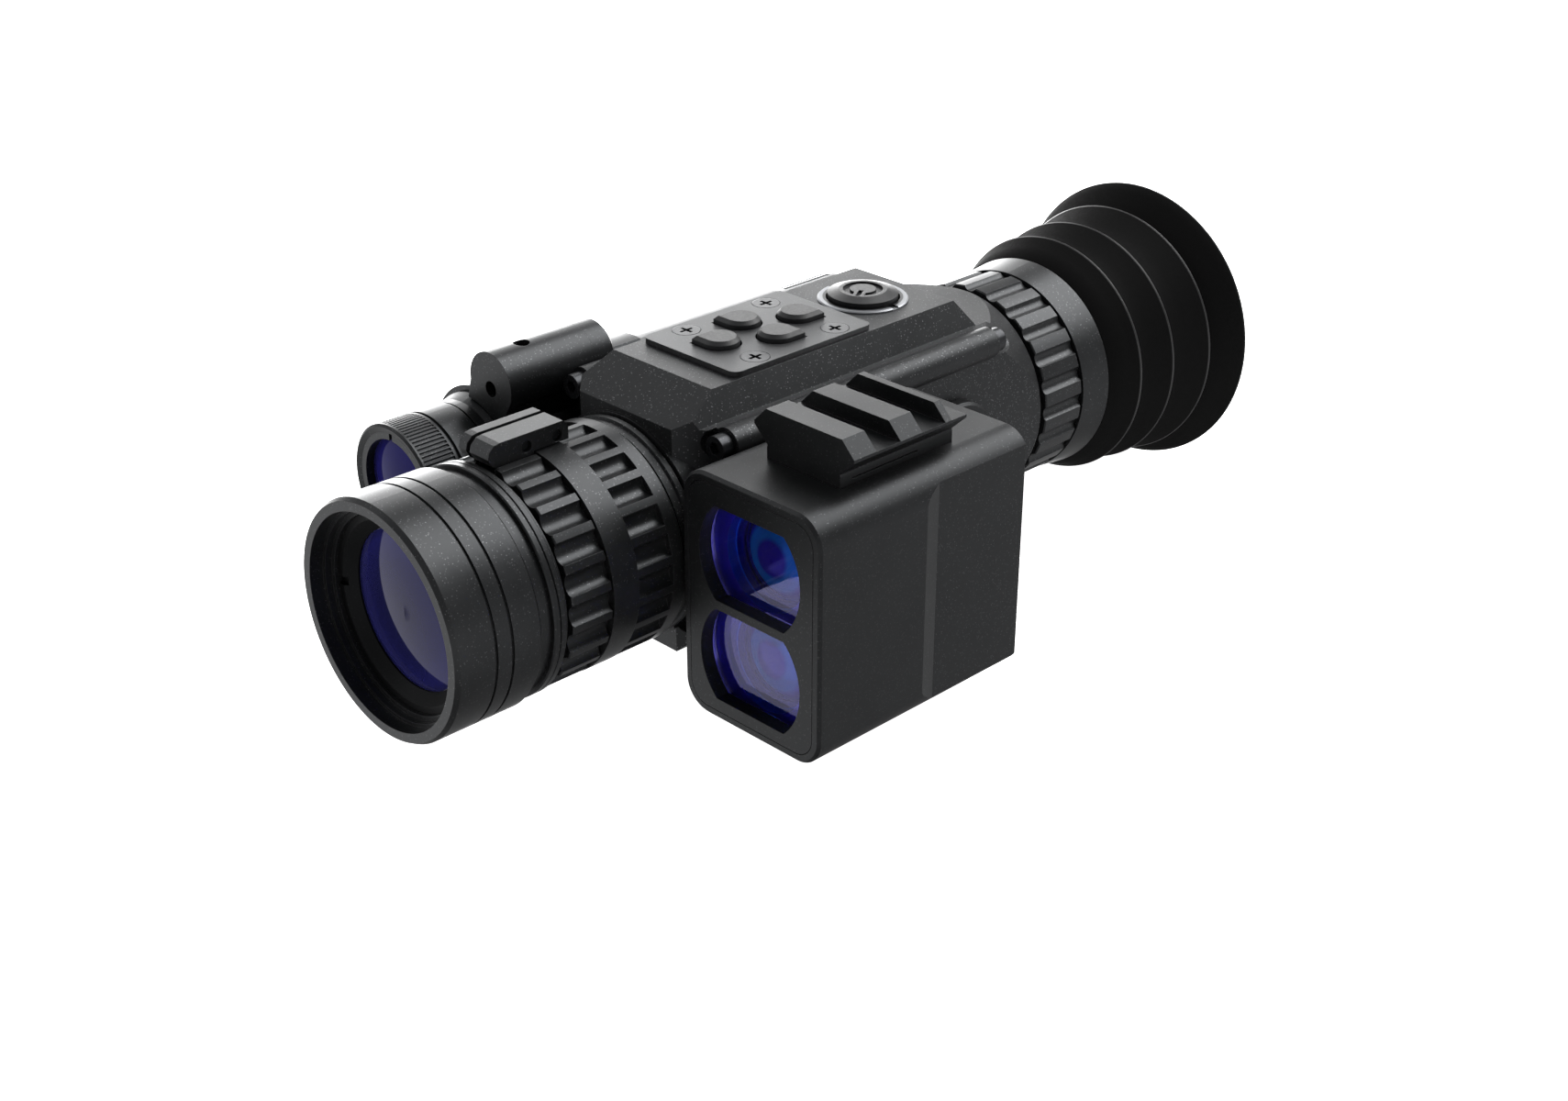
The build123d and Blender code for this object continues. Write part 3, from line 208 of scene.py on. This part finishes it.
@dataclass(frozen=True)
class BlastedMetal:
    """Bead-blasted, anodised aluminium, or steel with a black oxide.

    The blasting leaves pits near 0.05 mm wide. They are drawn 0.2 mm wide, the
    finest that shows, as grains that each catch the light a little differently, and
    a few cells are painted pale as glints. Dye and handling vary the colour slowly
    over centimetres.
    """

    name: str
    low_hex: str
    high_hex: str
    roughness: float
    grain_mm: float = 0.2
    pit_mm: float = 0.006
    sparkle: float = 0.25
    edge_mm: float = 0.1
    metallic: float = 0.85
    specular: float = 0.5

    def build(self) -> Any:
        """Make the material.

        Returns:
            The material, with grain, painted glints and worn-looking soft edges.
        """
        made, tree, shader = blank_material(self.name)
        spot = add_node(tree, "ShaderNodeTexCoord", {}, {}).outputs["Object"]
        grain = add_node(
            tree,
            "ShaderNodeTexNoise",
            {"in:Scale": per_metre(self.grain_mm), "in:Detail": 1.0, "in:Roughness": 0.5},
            {"Vector": spot},
        )
        cloud = add_node(
            tree,
            "ShaderNodeTexNoise",
            {"in:Scale": per_metre(CLOUD_MM), "in:Detail": 3.0},
            {"Vector": spot},
        )
        even = add_node(
            tree,
            "ShaderNodeMapRange",
            {"in:1": 0.25, "in:2": 0.75, "in:3": 0.0, "in:4": 1.0},
            {"Value": cloud.outputs["Fac"]},
        )
        mixed = add_node(
            tree,
            "ShaderNodeMix",
            {"data_type": "RGBA", "in:6": srgb(self.low_hex), "in:7": srgb(self.high_hex)},
            {"0": even.outputs["Result"]},
        )
        # Painted glints: a few Voronoi cells are mixed toward a pale grey in the base colour.
        glint_cells = add_node(
            tree, "ShaderNodeTexVoronoi", {"in:Scale": per_metre(self.grain_mm * 1.2)}, {"Vector": spot}
        )
        lot = add_node(tree, "ShaderNodeSeparateColor", {}, {"Color": glint_cells.outputs["Color"]})
        chosen = add_node(
            tree,
            "ShaderNodeMapRange",
            {"in:1": 0.86, "in:2": 1.0, "in:3": 0.0, "in:4": self.sparkle},
            {"Value": lot.outputs["Red"]},
        )
        flash = add_node(
            tree,
            "ShaderNodeMapRange",
            {"in:1": 0.25, "in:2": 0.55, "in:4": 0.0},
            {"Value": glint_cells.outputs["Distance"], "3": chosen.outputs["Result"]},
        )
        lit = add_node(
            tree,
            "ShaderNodeMix",
            {"data_type": "RGBA", "in:7": srgb(PAINTED_GLINT_HEX)},
            {"0": flash.outputs["Result"], "6": mixed.outputs[2]},
        )
        tree.links.new(lit.outputs[2], shader.inputs["Base Color"])
        matt = add_node(
            tree,
            "ShaderNodeMapRange",
            {"in:1": 0.3, "in:2": 0.7, "in:3": self.roughness - 0.03, "in:4": self.roughness + 0.03},
            {"Value": cloud.outputs["Fac"]},
        )
        tree.links.new(matt.outputs["Result"], shader.inputs["Roughness"])
        rounded = add_node(tree, "ShaderNodeBevel", {"samples": 4, "in:Radius": self.edge_mm * MM}, {})
        pits = add_node(
            tree,
            "ShaderNodeBump",
            {"in:Strength": 0.5, "in:Distance": self.pit_mm * MM},
            {"Height": grain.outputs["Fac"], "Normal": rounded.outputs["Normal"]},
        )
        tree.links.new(pits.outputs["Normal"], shader.inputs["Normal"])
        shader.inputs["Metallic"].default_value = self.metallic
        shader.inputs["Specular IOR Level"].default_value = self.specular
        return made


@dataclass(frozen=True)
class Moulded:
    """Moulded polymer or rubber with a fine spark-eroded texture."""

    name: str
    low_hex: str
    high_hex: str
    roughness: float
    grain_mm: float = 0.4
    relief_mm: float = 0.015
    edge_mm: float = 0.15
    specular: float = 0.5

    def build(self) -> Any:
        """Make the material.

        Returns:
            The material, with a fine texture and soft edges.
        """
        made, tree, shader = blank_material(self.name)
        spot = add_node(tree, "ShaderNodeTexCoord", {}, {}).outputs["Object"]
        grain = add_node(
            tree,
            "ShaderNodeTexNoise",
            {"in:Scale": per_metre(self.grain_mm), "in:Detail": 3.0, "in:Roughness": 0.6},
            {"Vector": spot},
        )
        mixed = add_node(
            tree,
            "ShaderNodeMix",
            {"data_type": "RGBA", "in:6": srgb(self.low_hex), "in:7": srgb(self.high_hex)},
            {"0": grain.outputs["Fac"]},
        )
        tree.links.new(mixed.outputs[2], shader.inputs["Base Color"])
        matt = add_node(
            tree,
            "ShaderNodeMapRange",
            {"in:1": 0.3, "in:2": 0.7, "in:3": self.roughness - 0.06, "in:4": self.roughness + 0.06},
            {"Value": grain.outputs["Fac"]},
        )
        tree.links.new(matt.outputs["Result"], shader.inputs["Roughness"])
        rounded = add_node(tree, "ShaderNodeBevel", {"samples": 4, "in:Radius": self.edge_mm * MM}, {})
        relief = add_node(
            tree,
            "ShaderNodeBump",
            {"in:Strength": 0.5, "in:Distance": self.relief_mm * MM},
            {"Height": grain.outputs["Fac"], "Normal": rounded.outputs["Normal"]},
        )
        tree.links.new(relief.outputs["Normal"], shader.inputs["Normal"])
        shader.inputs["Specular IOR Level"].default_value = self.specular
        return made


@dataclass(frozen=True)
class CoatedGlass:
    """Ground and polished glass with an anti-reflection coating.

    The colour is partly the coating's own dark violet and blue, and partly painted
    reflection: rings of violet, blue and cyan that change with the distance from its
    own axis stand in for reflections seen in the lens.
    """

    name: str
    zones: tuple[tuple[float, str], ...]
    axis_mm: tuple[float, float, float] = OPTICAL_AXIS
    twin_mm: float = 0.0
    wander_mm: float = 1.0
    sheen_hex: str = "c8c4ff"
    roughness: float = 0.05
    transmission: float = 0.0
    metallic: float = 0.0
    specular: float = 0.5

    def build(self) -> Any:
        """Make the material.

        Returns:
            The material: dark glass with coloured zones and a tinted gloss.
        """
        made, tree, shader = blank_material(self.name)
        spot = add_node(tree, "ShaderNodeTexCoord", {}, {}).outputs["Object"]
        colour = zone_colour(
            tree, spot, self.axis_mm, (1.0, 0.0, 1.0), self.zones, self.wander_mm, self.twin_mm
        )
        tree.links.new(colour, shader.inputs["Base Color"])
        shader.inputs["Roughness"].default_value = self.roughness
        shader.inputs["Metallic"].default_value = self.metallic
        shader.inputs["Transmission Weight"].default_value = self.transmission
        shader.inputs["Specular IOR Level"].default_value = self.specular
        shader.inputs["Specular Tint"].default_value = srgb(self.sheen_hex)
        return made


@dataclass(frozen=True)
class CutRing:
    """Anodised ring with a bright diamond-cut rim.

    The cut goes through the dye, so a narrow band of bare aluminium shines round
    a dark face.
    """

    name: str
    zones: tuple[tuple[float, str], ...]
    axis_mm: tuple[float, float, float]
    roughness: float = 0.42

    def build(self) -> Any:
        """Make the material.

        Returns:
            The material, dark inside and bright at the rim.
        """
        made, tree, shader = blank_material(self.name)
        spot = add_node(tree, "ShaderNodeTexCoord", {}, {}).outputs["Object"]
        colour = zone_colour(tree, spot, self.axis_mm, (1.0, 1.0, 0.0), self.zones)
        tree.links.new(colour, shader.inputs["Base Color"])
        shader.inputs["Roughness"].default_value = self.roughness
        shader.inputs["Metallic"].default_value = 0.9
        return made


def blank_material(name: str) -> tuple[Any, Any, Any]:
    """Start a node material.

    Args:
        name: Material name.

    Returns:
        The material, its node tree and its Principled shader.
    """
    made = bpy.data.materials.new(name)
    made.use_nodes = True
    shader = made.node_tree.nodes["Principled BSDF"]
    return made, made.node_tree, shader


class Finish(Enum):
    """Every finish on the instrument."""

    # Machined boxes, bead-blasted and dyed black: an even satin grey.
    BODY = BlastedMetal("anodised_aluminium_body", "242526", "2a2b2c", 0.44, sparkle=0.1)
    # A coarser blast on the main housings: a visible glitter in the facets, painted as pale glints.
    DECK = BlastedMetal("anodised_aluminium_deck", "2a2b2c", "303132", 0.46, sparkle=0.3)
    # Lathe-turned rings, lightly blasted: smoother, so the light draws long streaks.
    TURNED = BlastedMetal("anodised_aluminium_turned", "2a2b2c", "313233", 0.36, sparkle=0.15)
    # Flat black dye inside the light path: it swallows stray light.
    INNER = BlastedMetal("anodised_aluminium_dark", "0c0d0e", "111213", 0.5, sparkle=0.02)
    # A thin stamped plate, a tone paler than the deck: painted light standing in for the brighter light that
    # it catches.
    PLATE = BlastedMetal("anodised_aluminium_plate", "404142", "474849", 0.44, sparkle=0.12)
    # Oxide-blackened steel: dark, with a soft shine on the screw heads.
    STEEL = BlastedMetal("steel_black_oxide", "2a2b2d", "333436", 0.36, sparkle=0.1)
    # Diamond-cut through the dye: bare aluminium shines as a narrow band.
    SILVER = CutRing(
        "aluminium_diamond_cut_rim",
        ((6.6, "242526"), (6.95, "2a2b2c"), (7.1, "7c7e81"), (8.0, "8c8e91")),
        POWER_AXIS,
    )
    # Injection-moulded polymer with an eroded texture: dull, with rounded edges.
    KEYS = Moulded("polycarbonate_moulded", "1c1d1e", "232425", 0.45, specular=0.3)
    BUTTON = Moulded("polycarbonate_moulded_black", "101112", "161718", 0.4, specular=0.35)
    # Compression-moulded rubber: nearly black; the lips' rounded edges get a painted highlight, a lighter
    # rubber colour.
    RUBBER = Moulded("rubber_moulded_black", "090909", "0d0d0d", 0.65, grain_mm=0.6, specular=0.03)
    # Painted highlight: lighter, glossier rubber on the lips' rounded edges, where they catch the light.
    LIP = Moulded("rubber_lip_painted_highlight", "1c1c1c", "242424", 0.35, grain_mm=0.6, specular=0.5)
    # Solder mask over copper, and shrink wrap over the cells: glossy and coloured.
    BOARD = Moulded("solder_mask_green", "0c3a22", "155a34", 0.4)
    CELL = Moulded("shrink_wrap_blue", "1c3c70", "28508c", 0.3)
    # Polished glass with an evaporated coating: violet and blue instead of clear, partly the coating's tint
    # and partly painted reflection.
    OBJECTIVE = CoatedGlass(
        "glass_coated_objective",
        ((0.0, "0e0e26"), (8.0, "121236"), (12.0, "181848"), (14.0, "14142c")),
        specular=0.18,
    )
    FOCUS = CoatedGlass("glass_coated_focus", ((0.0, "101028"), (14.0, "181440")))
    OCULAR = CoatedGlass("glass_coated_ocular", ((0.0, "0c1c18"), (14.0, "181430")), transmission=0.8)
    WINDOW = CoatedGlass(
        "glass_coated_window",
        ((0.0, "d8d6ff"), (8.0, "c4c0ff"), (11.0, "a8a4f4")),
        RANGER_AXIS,
        twin_mm=RANGER_TWIN_MM,
        transmission=1.0,
        roughness=0.0,
        specular=0.02,
    )
    # Rangefinder lens: the coating's violet, with a cyan ring painted in as a reflection.
    RANGER = CoatedGlass(
        "glass_coated_rangefinder",
        (
            (0.0, "2a1c74"),
            (2.8, "241c70"),
            (3.6, "12688c"),
            (5.4, "1478a0"),
            (6.2, "1c1c80"),
            (7.4, "14124a"),
        ),
        RANGER_AXIS,
        twin_mm=RANGER_TWIN_MM,
        metallic=0.12,
        roughness=0.06,
        specular=0.16,
    )
    # A dyed violet aluminium barrel behind the coated pane, with a narrow bright blue line painted in as a
    # reflection.
    BARREL = CoatedGlass(
        "aluminium_anodised_violet",
        ((7.4, "14124a"), (8.0, "12207c"), (8.25, "1c78c8"), (8.45, "30288c"), (12.0, "2a247c")),
        RANGER_AXIS,
        twin_mm=RANGER_TWIN_MM,
        wander_mm=0.2,
        metallic=0.3,
        roughness=0.4,
    )
    TORCH = CoatedGlass(
        "glass_coated_torch",
        ((0.0, "12123a"), (7.0, "18164c"), (9.6, "101028")),
        TORCH_AXIS,
        specular=0.05,
    )

    def material(self) -> Any:
        """The material of this finish, made once."""
        found = bpy.data.materials.get(self.value.name)
        return found or self.value.build()


def dress(frame: dict[str, Any], names: tuple[str, ...], finish: Finish) -> None:
    """Give CAD nodes a finish.

    Args:
        names: Node names.
        finish: Finish that they all take.
    """
    for name in names:
        mesh = frame["nodes"][name].data
        mesh.materials.clear()
        mesh.materials.append(finish.material())
        LOG.info("%s dressed in %s", name, finish.value.name)


def surface_mesh(name: str, points: np.ndarray, close_u: bool, close_v: bool) -> Any:
    """Make a mesh from a grid of points.

    A point (i, j) joins its neighbours (i + 1, j) and (i, j + 1), and the last
    row or column joins the first where that direction is closed.

    Args:
        name: Object and mesh name.
        points: Array of shape (rows, columns, 3), in metres.
        close_u: Whether the last row joins the first.
        close_v: Whether the last column joins the first.

    Returns:
        The new object, in the scene.
    """
    rows, cols, _ = points.shape
    i = np.arange(rows if close_u else rows - 1)
    j = np.arange(cols if close_v else cols - 1)
    ii, jj = np.meshgrid(i, j, indexing="ij")
    a = ii * cols + jj
    b = ii * cols + (jj + 1) % cols
    c = ((ii + 1) % rows) * cols + (jj + 1) % cols
    d = ((ii + 1) % rows) * cols + jj
    faces = np.stack([a, b, c, d], axis=-1).reshape(-1, 4)
    mesh = bpy.data.meshes.new(name)
    mesh.from_pydata(points.reshape(-1, 3).tolist(), [], faces.tolist())
    mesh.polygons.foreach_set("use_smooth", np.ones(len(mesh.polygons), dtype=bool))
    mesh.set_sharp_from_angle(angle=math.radians(SHARP_DEGREES))
    mesh.update()
    made = bpy.data.objects.new(name, mesh)
    bpy.context.scene.collection.objects.link(made)
    return made


@dataclass
class Studio:
    """Camera, lights and floor."""

    camera_mm: tuple[float, float, float] = (246.11, -241.94, 181.63)
    azimuth: float = 45.601
    elevation: float = 26.863
    roll: float = 0.038
    lens_mm: float = 50.0
    floor_mm: float = -2.9
    glows: tuple[tuple[tuple[float, float, float], float, float, float], ...] = (
        ((-0.756, 0.616, -0.22), 0.88, 0.98, 9.0),
        ((-0.637, -0.624, -0.452), 0.70, 0.95, 0.6),
    )
    room: tuple[tuple[float, float], ...] = (
        (0.13, 0.3),
        (0.27, 0.8),
        (0.47, 0.9),
        (0.53, 0.6),
        (0.66, 0.35),
        (0.80, 0.4),
    )

    def build(self) -> None:
        """Make the camera, then the light and the floor."""
        self.add_camera()
        self.add_lights()
        self.add_floor()

    def add_camera(self) -> None:
        """Place the camera on its line of sight.

        The view's three axes are the columns of its rotation: right, up and back,
        where back is (sin az cos el, -cos az cos el, sin el).
        """
        az, el, roll = (math.radians(v) for v in (self.azimuth, self.elevation, self.roll))
        back = np.array([math.sin(az) * math.cos(el), -math.cos(az) * math.cos(el), math.sin(el)])
        right = np.array([math.cos(az), math.sin(az), 0.0])
        up = np.cross(back, right)
        right_r = right * math.cos(roll) + up * math.sin(roll)
        up_r = up * math.cos(roll) - right * math.sin(roll)
        turned = Matrix(np.stack([right_r, up_r, back], axis=1).tolist()).to_4x4()
        data = bpy.data.cameras.new("view")
        data.lens = self.lens_mm
        data.sensor_width = 36.0
        data.clip_start = 0.01
        camera = bpy.data.objects.new("view", data)
        camera.matrix_world = Matrix.Translation([v * MM for v in self.camera_mm]) @ turned
        bpy.context.scene.collection.objects.link(camera)
        bpy.context.scene.camera = camera
        bpy.context.scene.view_settings.view_transform = "Standard"

    def add_lights(self) -> None:
        """Make the surrounding light and the soft boxes.

        The room is a white sweep: bright below and level, dimmer overhead, with a
        strong glow behind and to the left and a weak one in front. A glow grows
        with the cosine between a direction and its own, from start to full.
        """
        world = bpy.data.worlds.new("studio")
        world.use_nodes = True
        tree = world.node_tree
        spot = add_node(tree, "ShaderNodeTexCoord", {}, {}).outputs["Generated"]
        height = add_node(tree, "ShaderNodeSeparateXYZ", {}, {"Vector": spot}).outputs["Z"]
        share = add_node(tree, "ShaderNodeMapRange", {"in:1": -1.0, "in:2": 1.0}, {"Value": height})
        ramp = add_node(tree, "ShaderNodeValToRGB", {}, {"Fac": share.outputs["Result"]})
        stops = ramp.color_ramp.elements
        stops[0].position, stops[0].color = 0.0, (0.2, 0.2, 0.2, 1)
        stops[1].position, stops[1].color = 1.0, (0.5, 0.5, 0.51, 1)
        for place, level in self.room:
            stops.new(place).color = (level, level, level * 1.01, 1)
        whole = ramp.outputs["Color"]
        for toward, start, full, level in self.glows:
            near = add_node(
                tree, "ShaderNodeVectorMath", {"operation": "DOT_PRODUCT", "in:1": toward}, {"0": spot}
            )
            glow = add_node(
                tree,
                "ShaderNodeMapRange",
                {"in:1": start, "in:2": full, "in:3": 0.0, "in:4": level},
                {"Value": near.outputs["Value"]},
            )
            whole = add_node(
                tree,
                "ShaderNodeVectorMath",
                {"operation": "ADD"},
                {"0": whole, "1": glow.outputs["Result"]},
            ).outputs["Vector"]
        background = tree.nodes["Background"]
        tree.links.new(whole, background.inputs["Color"])
        background.inputs["Strength"].default_value = 1.0
        bpy.context.scene.world = world
        self.add_softbox("overhead", (0.15, 0.62, 0.72), (0.0, 0.0, 0.03), 0.8, 14.0)
        self.add_softbox("back_left", (-0.80, 0.46, 0.38), (0.0, 0.0, 0.03), 0.7, 4.0)
        self.add_softbox("front_left", (-0.60, -0.50, 0.60), (0.0, -0.05, 0.03), 0.5, 1.2)

    def add_softbox(
        self,
        name: str,
        place: tuple[float, float, float],
        target: tuple[float, float, float],
        size: float,
        power: float,
    ) -> None:
        """Add a square area light that looks at a point.

        Args:
            name: Light name.
            place: Where it hangs, in metres.
            target: The point that it faces.
            size: Side of the square, in metres.
            power: Watts.
        """
        data = bpy.data.lights.new(name, "AREA")
        data.shape = "SQUARE"
        data.size = size
        data.energy = power
        lamp = bpy.data.objects.new(name, data)
        lamp.location = place
        lamp.rotation_euler = (Vector(target) - Vector(place)).to_track_quat("-Z", "Y").to_euler()
        bpy.context.scene.collection.objects.link(lamp)

    def add_floor(self) -> None:
        """Make the pale floor, just under the lowest point of the eyecup's rim."""
        grid = np.linspace(-4.0, 4.0, 5)
        x, y = np.meshgrid(grid, grid, indexing="ij")
        points = np.stack([x, y, np.full_like(x, self.floor_mm * MM)], axis=-1)
        floor = surface_mesh("floor", points, False, False)
        made, tree, shader = blank_material("floor_paper")
        spot = add_node(tree, "ShaderNodeTexCoord", {}, {}).outputs["Object"]
        soft = add_node(tree, "ShaderNodeTexNoise", {"in:Scale": 3.0}, {"Vector": spot})
        mixed = add_node(
            tree,
            "ShaderNodeMix",
            {"data_type": "RGBA", "in:6": srgb("fbfbfb"), "in:7": srgb("ffffff")},
            {"0": soft.outputs["Fac"]},
        )
        tree.links.new(mixed.outputs[2], shader.inputs["Base Color"])
        tree.links.new(mixed.outputs[2], shader.inputs["Emission Color"])
        shader.inputs["Emission Strength"].default_value = 1.2
        shader.inputs["Roughness"].default_value = 0.9
        shader.inputs["Specular IOR Level"].default_value = 0.0
        floor.data.materials.append(made)
        floor.visible_glossy = False


@dataclass
class Eyecup:
    """Folded rubber eyecup, as one closed turned skin."""

    outer: tuple[tuple[float, float], ...] = (
        (149.8, 17.65),
        (149.8, 19.9),
        (150.1, 20.3),
        (153.3, 21.65),
        (155.95, 22.86),
        (156.2, 23.0),
        (156.45, 22.9),
        (156.5, 22.6),
        (156.55, 21.6),
        (156.8, 20.9),
        (157.3, 20.8),
        (161.0, 22.0),
        (164.95, 23.56),
        (165.2, 23.7),
        (165.45, 23.6),
        (165.5, 23.3),
        (165.55, 22.3),
        (165.8, 21.6),
        (166.3, 21.5),
        (170.5, 22.9),
        (175.05, 24.56),
        (175.3, 24.7),
        (175.55, 24.6),
        (175.6, 24.3),
        (175.65, 23.4),
        (175.9, 22.7),
        (176.4, 22.6),
        (178.5, 24.4),
        (181.0, 26.5),
        (182.4, 27.62),
        (182.65, 27.7),
        (182.9, 27.4),
        (182.7, 26.65),
        (179.5, 23.3),
        (176.0, 21.0),
        (167.0, 19.8),
        (157.0, 18.9),
        (155.05, 18.6),
        (155.05, 17.65),
    )
    # Profile rows on the lips' rounded edges, which take the painted highlight.
    lip_highlight_rows: tuple[int, ...] = (4, 5, 6, 12, 13, 14, 20, 21, 22, 29, 30)
    steps: int = 192

    def build(self) -> None:
        """Make the eyecup and put it in place of its CAD solid.

        A point is (r cos t, d, r sin t) about the optical axis, with (d, r) along
        the profile and t round it.
        """
        profile = np.array(self.outer) * MM
        turn = np.linspace(0.0, 2.0 * math.pi, self.steps, endpoint=False)
        d, r = profile[:, 0][:, None], profile[:, 1][:, None]
        points = np.stack(
            [
                r * np.cos(turn)[None, :],
                FRONT_Y + d + np.zeros_like(turn)[None, :],
                AXIS_HEIGHT + r * np.sin(turn)[None, :],
            ],
            axis=-1,
        )
        cup = surface_mesh("rubber_eyecup", points, True, True)
        orient_outwards(cup)
        cup.data.materials.append(Finish.RUBBER.material())
        # The second material is a painted highlight on the lips' rounded edges.
        cup.data.materials.append(Finish.LIP.material())
        row = np.arange(len(cup.data.polygons)) // self.steps
        cup.data.polygons.foreach_set("material_index", np.isin(row, self.lip_highlight_rows).astype(np.int32))
        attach(cup, "scope_frame")
        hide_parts("eyecup")
        LOG.info("rubber eyecup made with %d faces", len(cup.data.polygons))


def orient_outwards(made: Any) -> None:
    """Turn a closed mesh's faces outwards."""
    work = bmesh.new()
    work.from_mesh(made.data)
    bmesh.ops.recalc_face_normals(work, faces=work.faces)
    work.to_mesh(made.data)
    work.free()


@dataclass
class Objective:
    """Hood, focus ring and front lens."""

    turned: tuple[str, ...] = ("hood", "flange_ring", "focus_ring", "focus_lever")
    dark: tuple[str, ...] = ("objective_tube", "focus_cell", "lens_retainer")

    def dress(self, frame: dict[str, Any]) -> None:
        """Give the objective its finishes."""
        dress(frame, self.turned, Finish.TURNED)
        dress(frame, self.dark, Finish.INNER)
        dress(frame, ("lever_screws",), Finish.STEEL)
        dress(frame, ("front_lens",), Finish.OBJECTIVE)
        dress(frame, ("focus_lens",), Finish.FOCUS)


@dataclass
class Body:
    """Housings, boards, foot and their screws."""

    shells: tuple[str, ...] = ("front_housing", "main_housing", "rear_housing")

    def dress(self, frame: dict[str, Any]) -> None:
        """Give the body its finishes."""
        dress(frame, self.shells, Finish.DECK)
        dress(frame, ("foot_plate", "port_cap"), Finish.BODY)
        dress(frame, ("housing_screws", "foot_screws"), Finish.STEEL)
        dress(frame, ("sensor_board", "main_board"), Finish.BOARD)
        dress(frame, ("battery_cell",), Finish.CELL)
        dress(frame, ("battery_cradle", "display_module"), Finish.BUTTON)


@dataclass
class Controls:
    """Key plate, keys and power button."""

    keys: tuple[str, ...] = ("key_front", "key_left", "key_right", "key_rear")

    def dress(self, frame: dict[str, Any]) -> None:
        """Give the controls their finishes."""
        dress(frame, ("control_plate",), Finish.PLATE)
        dress(frame, self.keys, Finish.KEYS)
        dress(frame, ("plate_screws",), Finish.STEEL)
        dress(frame, ("power_bezel",), Finish.SILVER)
        dress(frame, ("power_button", "power_switch"), Finish.BUTTON)
        dress(frame, ("key_board",), Finish.BOARD)


@dataclass
class Eyepiece:
    """Diopter ring, cone, lenses and eyecup."""

    cup: Eyecup = field(default_factory=Eyecup)

    def dress(self, frame: dict[str, Any]) -> None:
        """Give the eyepiece its finishes and make the eyecup."""
        dress(frame, ("diopter_ring", "eyepiece_cone"), Finish.TURNED)
        dress(frame, ("eyepiece_tube", "ocular_cell"), Finish.INNER)
        dress(frame, ("eye_lens", "ocular_lens"), Finish.OCULAR)
        dress(frame, ("eyecup",), Finish.RUBBER)
        self.cup.build()


@dataclass
class Rangefinder:
    """Side box with its windows, lenses and rail."""

    def dress(self, frame: dict[str, Any]) -> None:
        """Give the rangefinder its finishes."""
        dress(frame, ("lrf_housing", "lrf_front_panel", "lrf_rail"), Finish.BODY)
        dress(frame, ("lrf_windows",), Finish.WINDOW)
        dress(frame, ("lrf_lenses",), Finish.RANGER)
        dress(frame, ("lrf_module",), Finish.BARREL)
        dress(frame, ("lrf_screws",), Finish.STEEL)


@dataclass
class Illuminator:
    """Infrared torch, its bracket and the pointer."""

    def dress(self, frame: dict[str, Any]) -> None:
        """Give the torch and the pointer their finishes."""
        dress(frame, ("ir_head", "ir_retainer", "ir_body", "ir_tail_cap"), Finish.TURNED)
        dress(frame, ("ir_bracket", "pointer_housing", "pointer_cap"), Finish.TURNED)
        dress(frame, ("ir_lens",), Finish.TORCH)
        dress(frame, ("ir_emitter",), Finish.INNER)
        dress(frame, ("ir_battery",), Finish.CELL)
        dress(frame, ("ir_tail_button",), Finish.RUBBER)
        dress(frame, ("bracket_screws", "pointer_screw"), Finish.STEEL)


def main() -> None:
    """Load the frame, build the studio and dress the frame."""
    logging.basicConfig(level=logging.INFO, format="%(name)s: %(message)s")
    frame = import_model()
    Studio().build()
    for assembly in (Objective(), Body(), Controls(), Eyepiece(), Rangefinder(), Illuminator()):
        assembly.dress(frame)
        LOG.info("%s done", type(assembly).__name__)


if __name__ == "__main__":
    main()
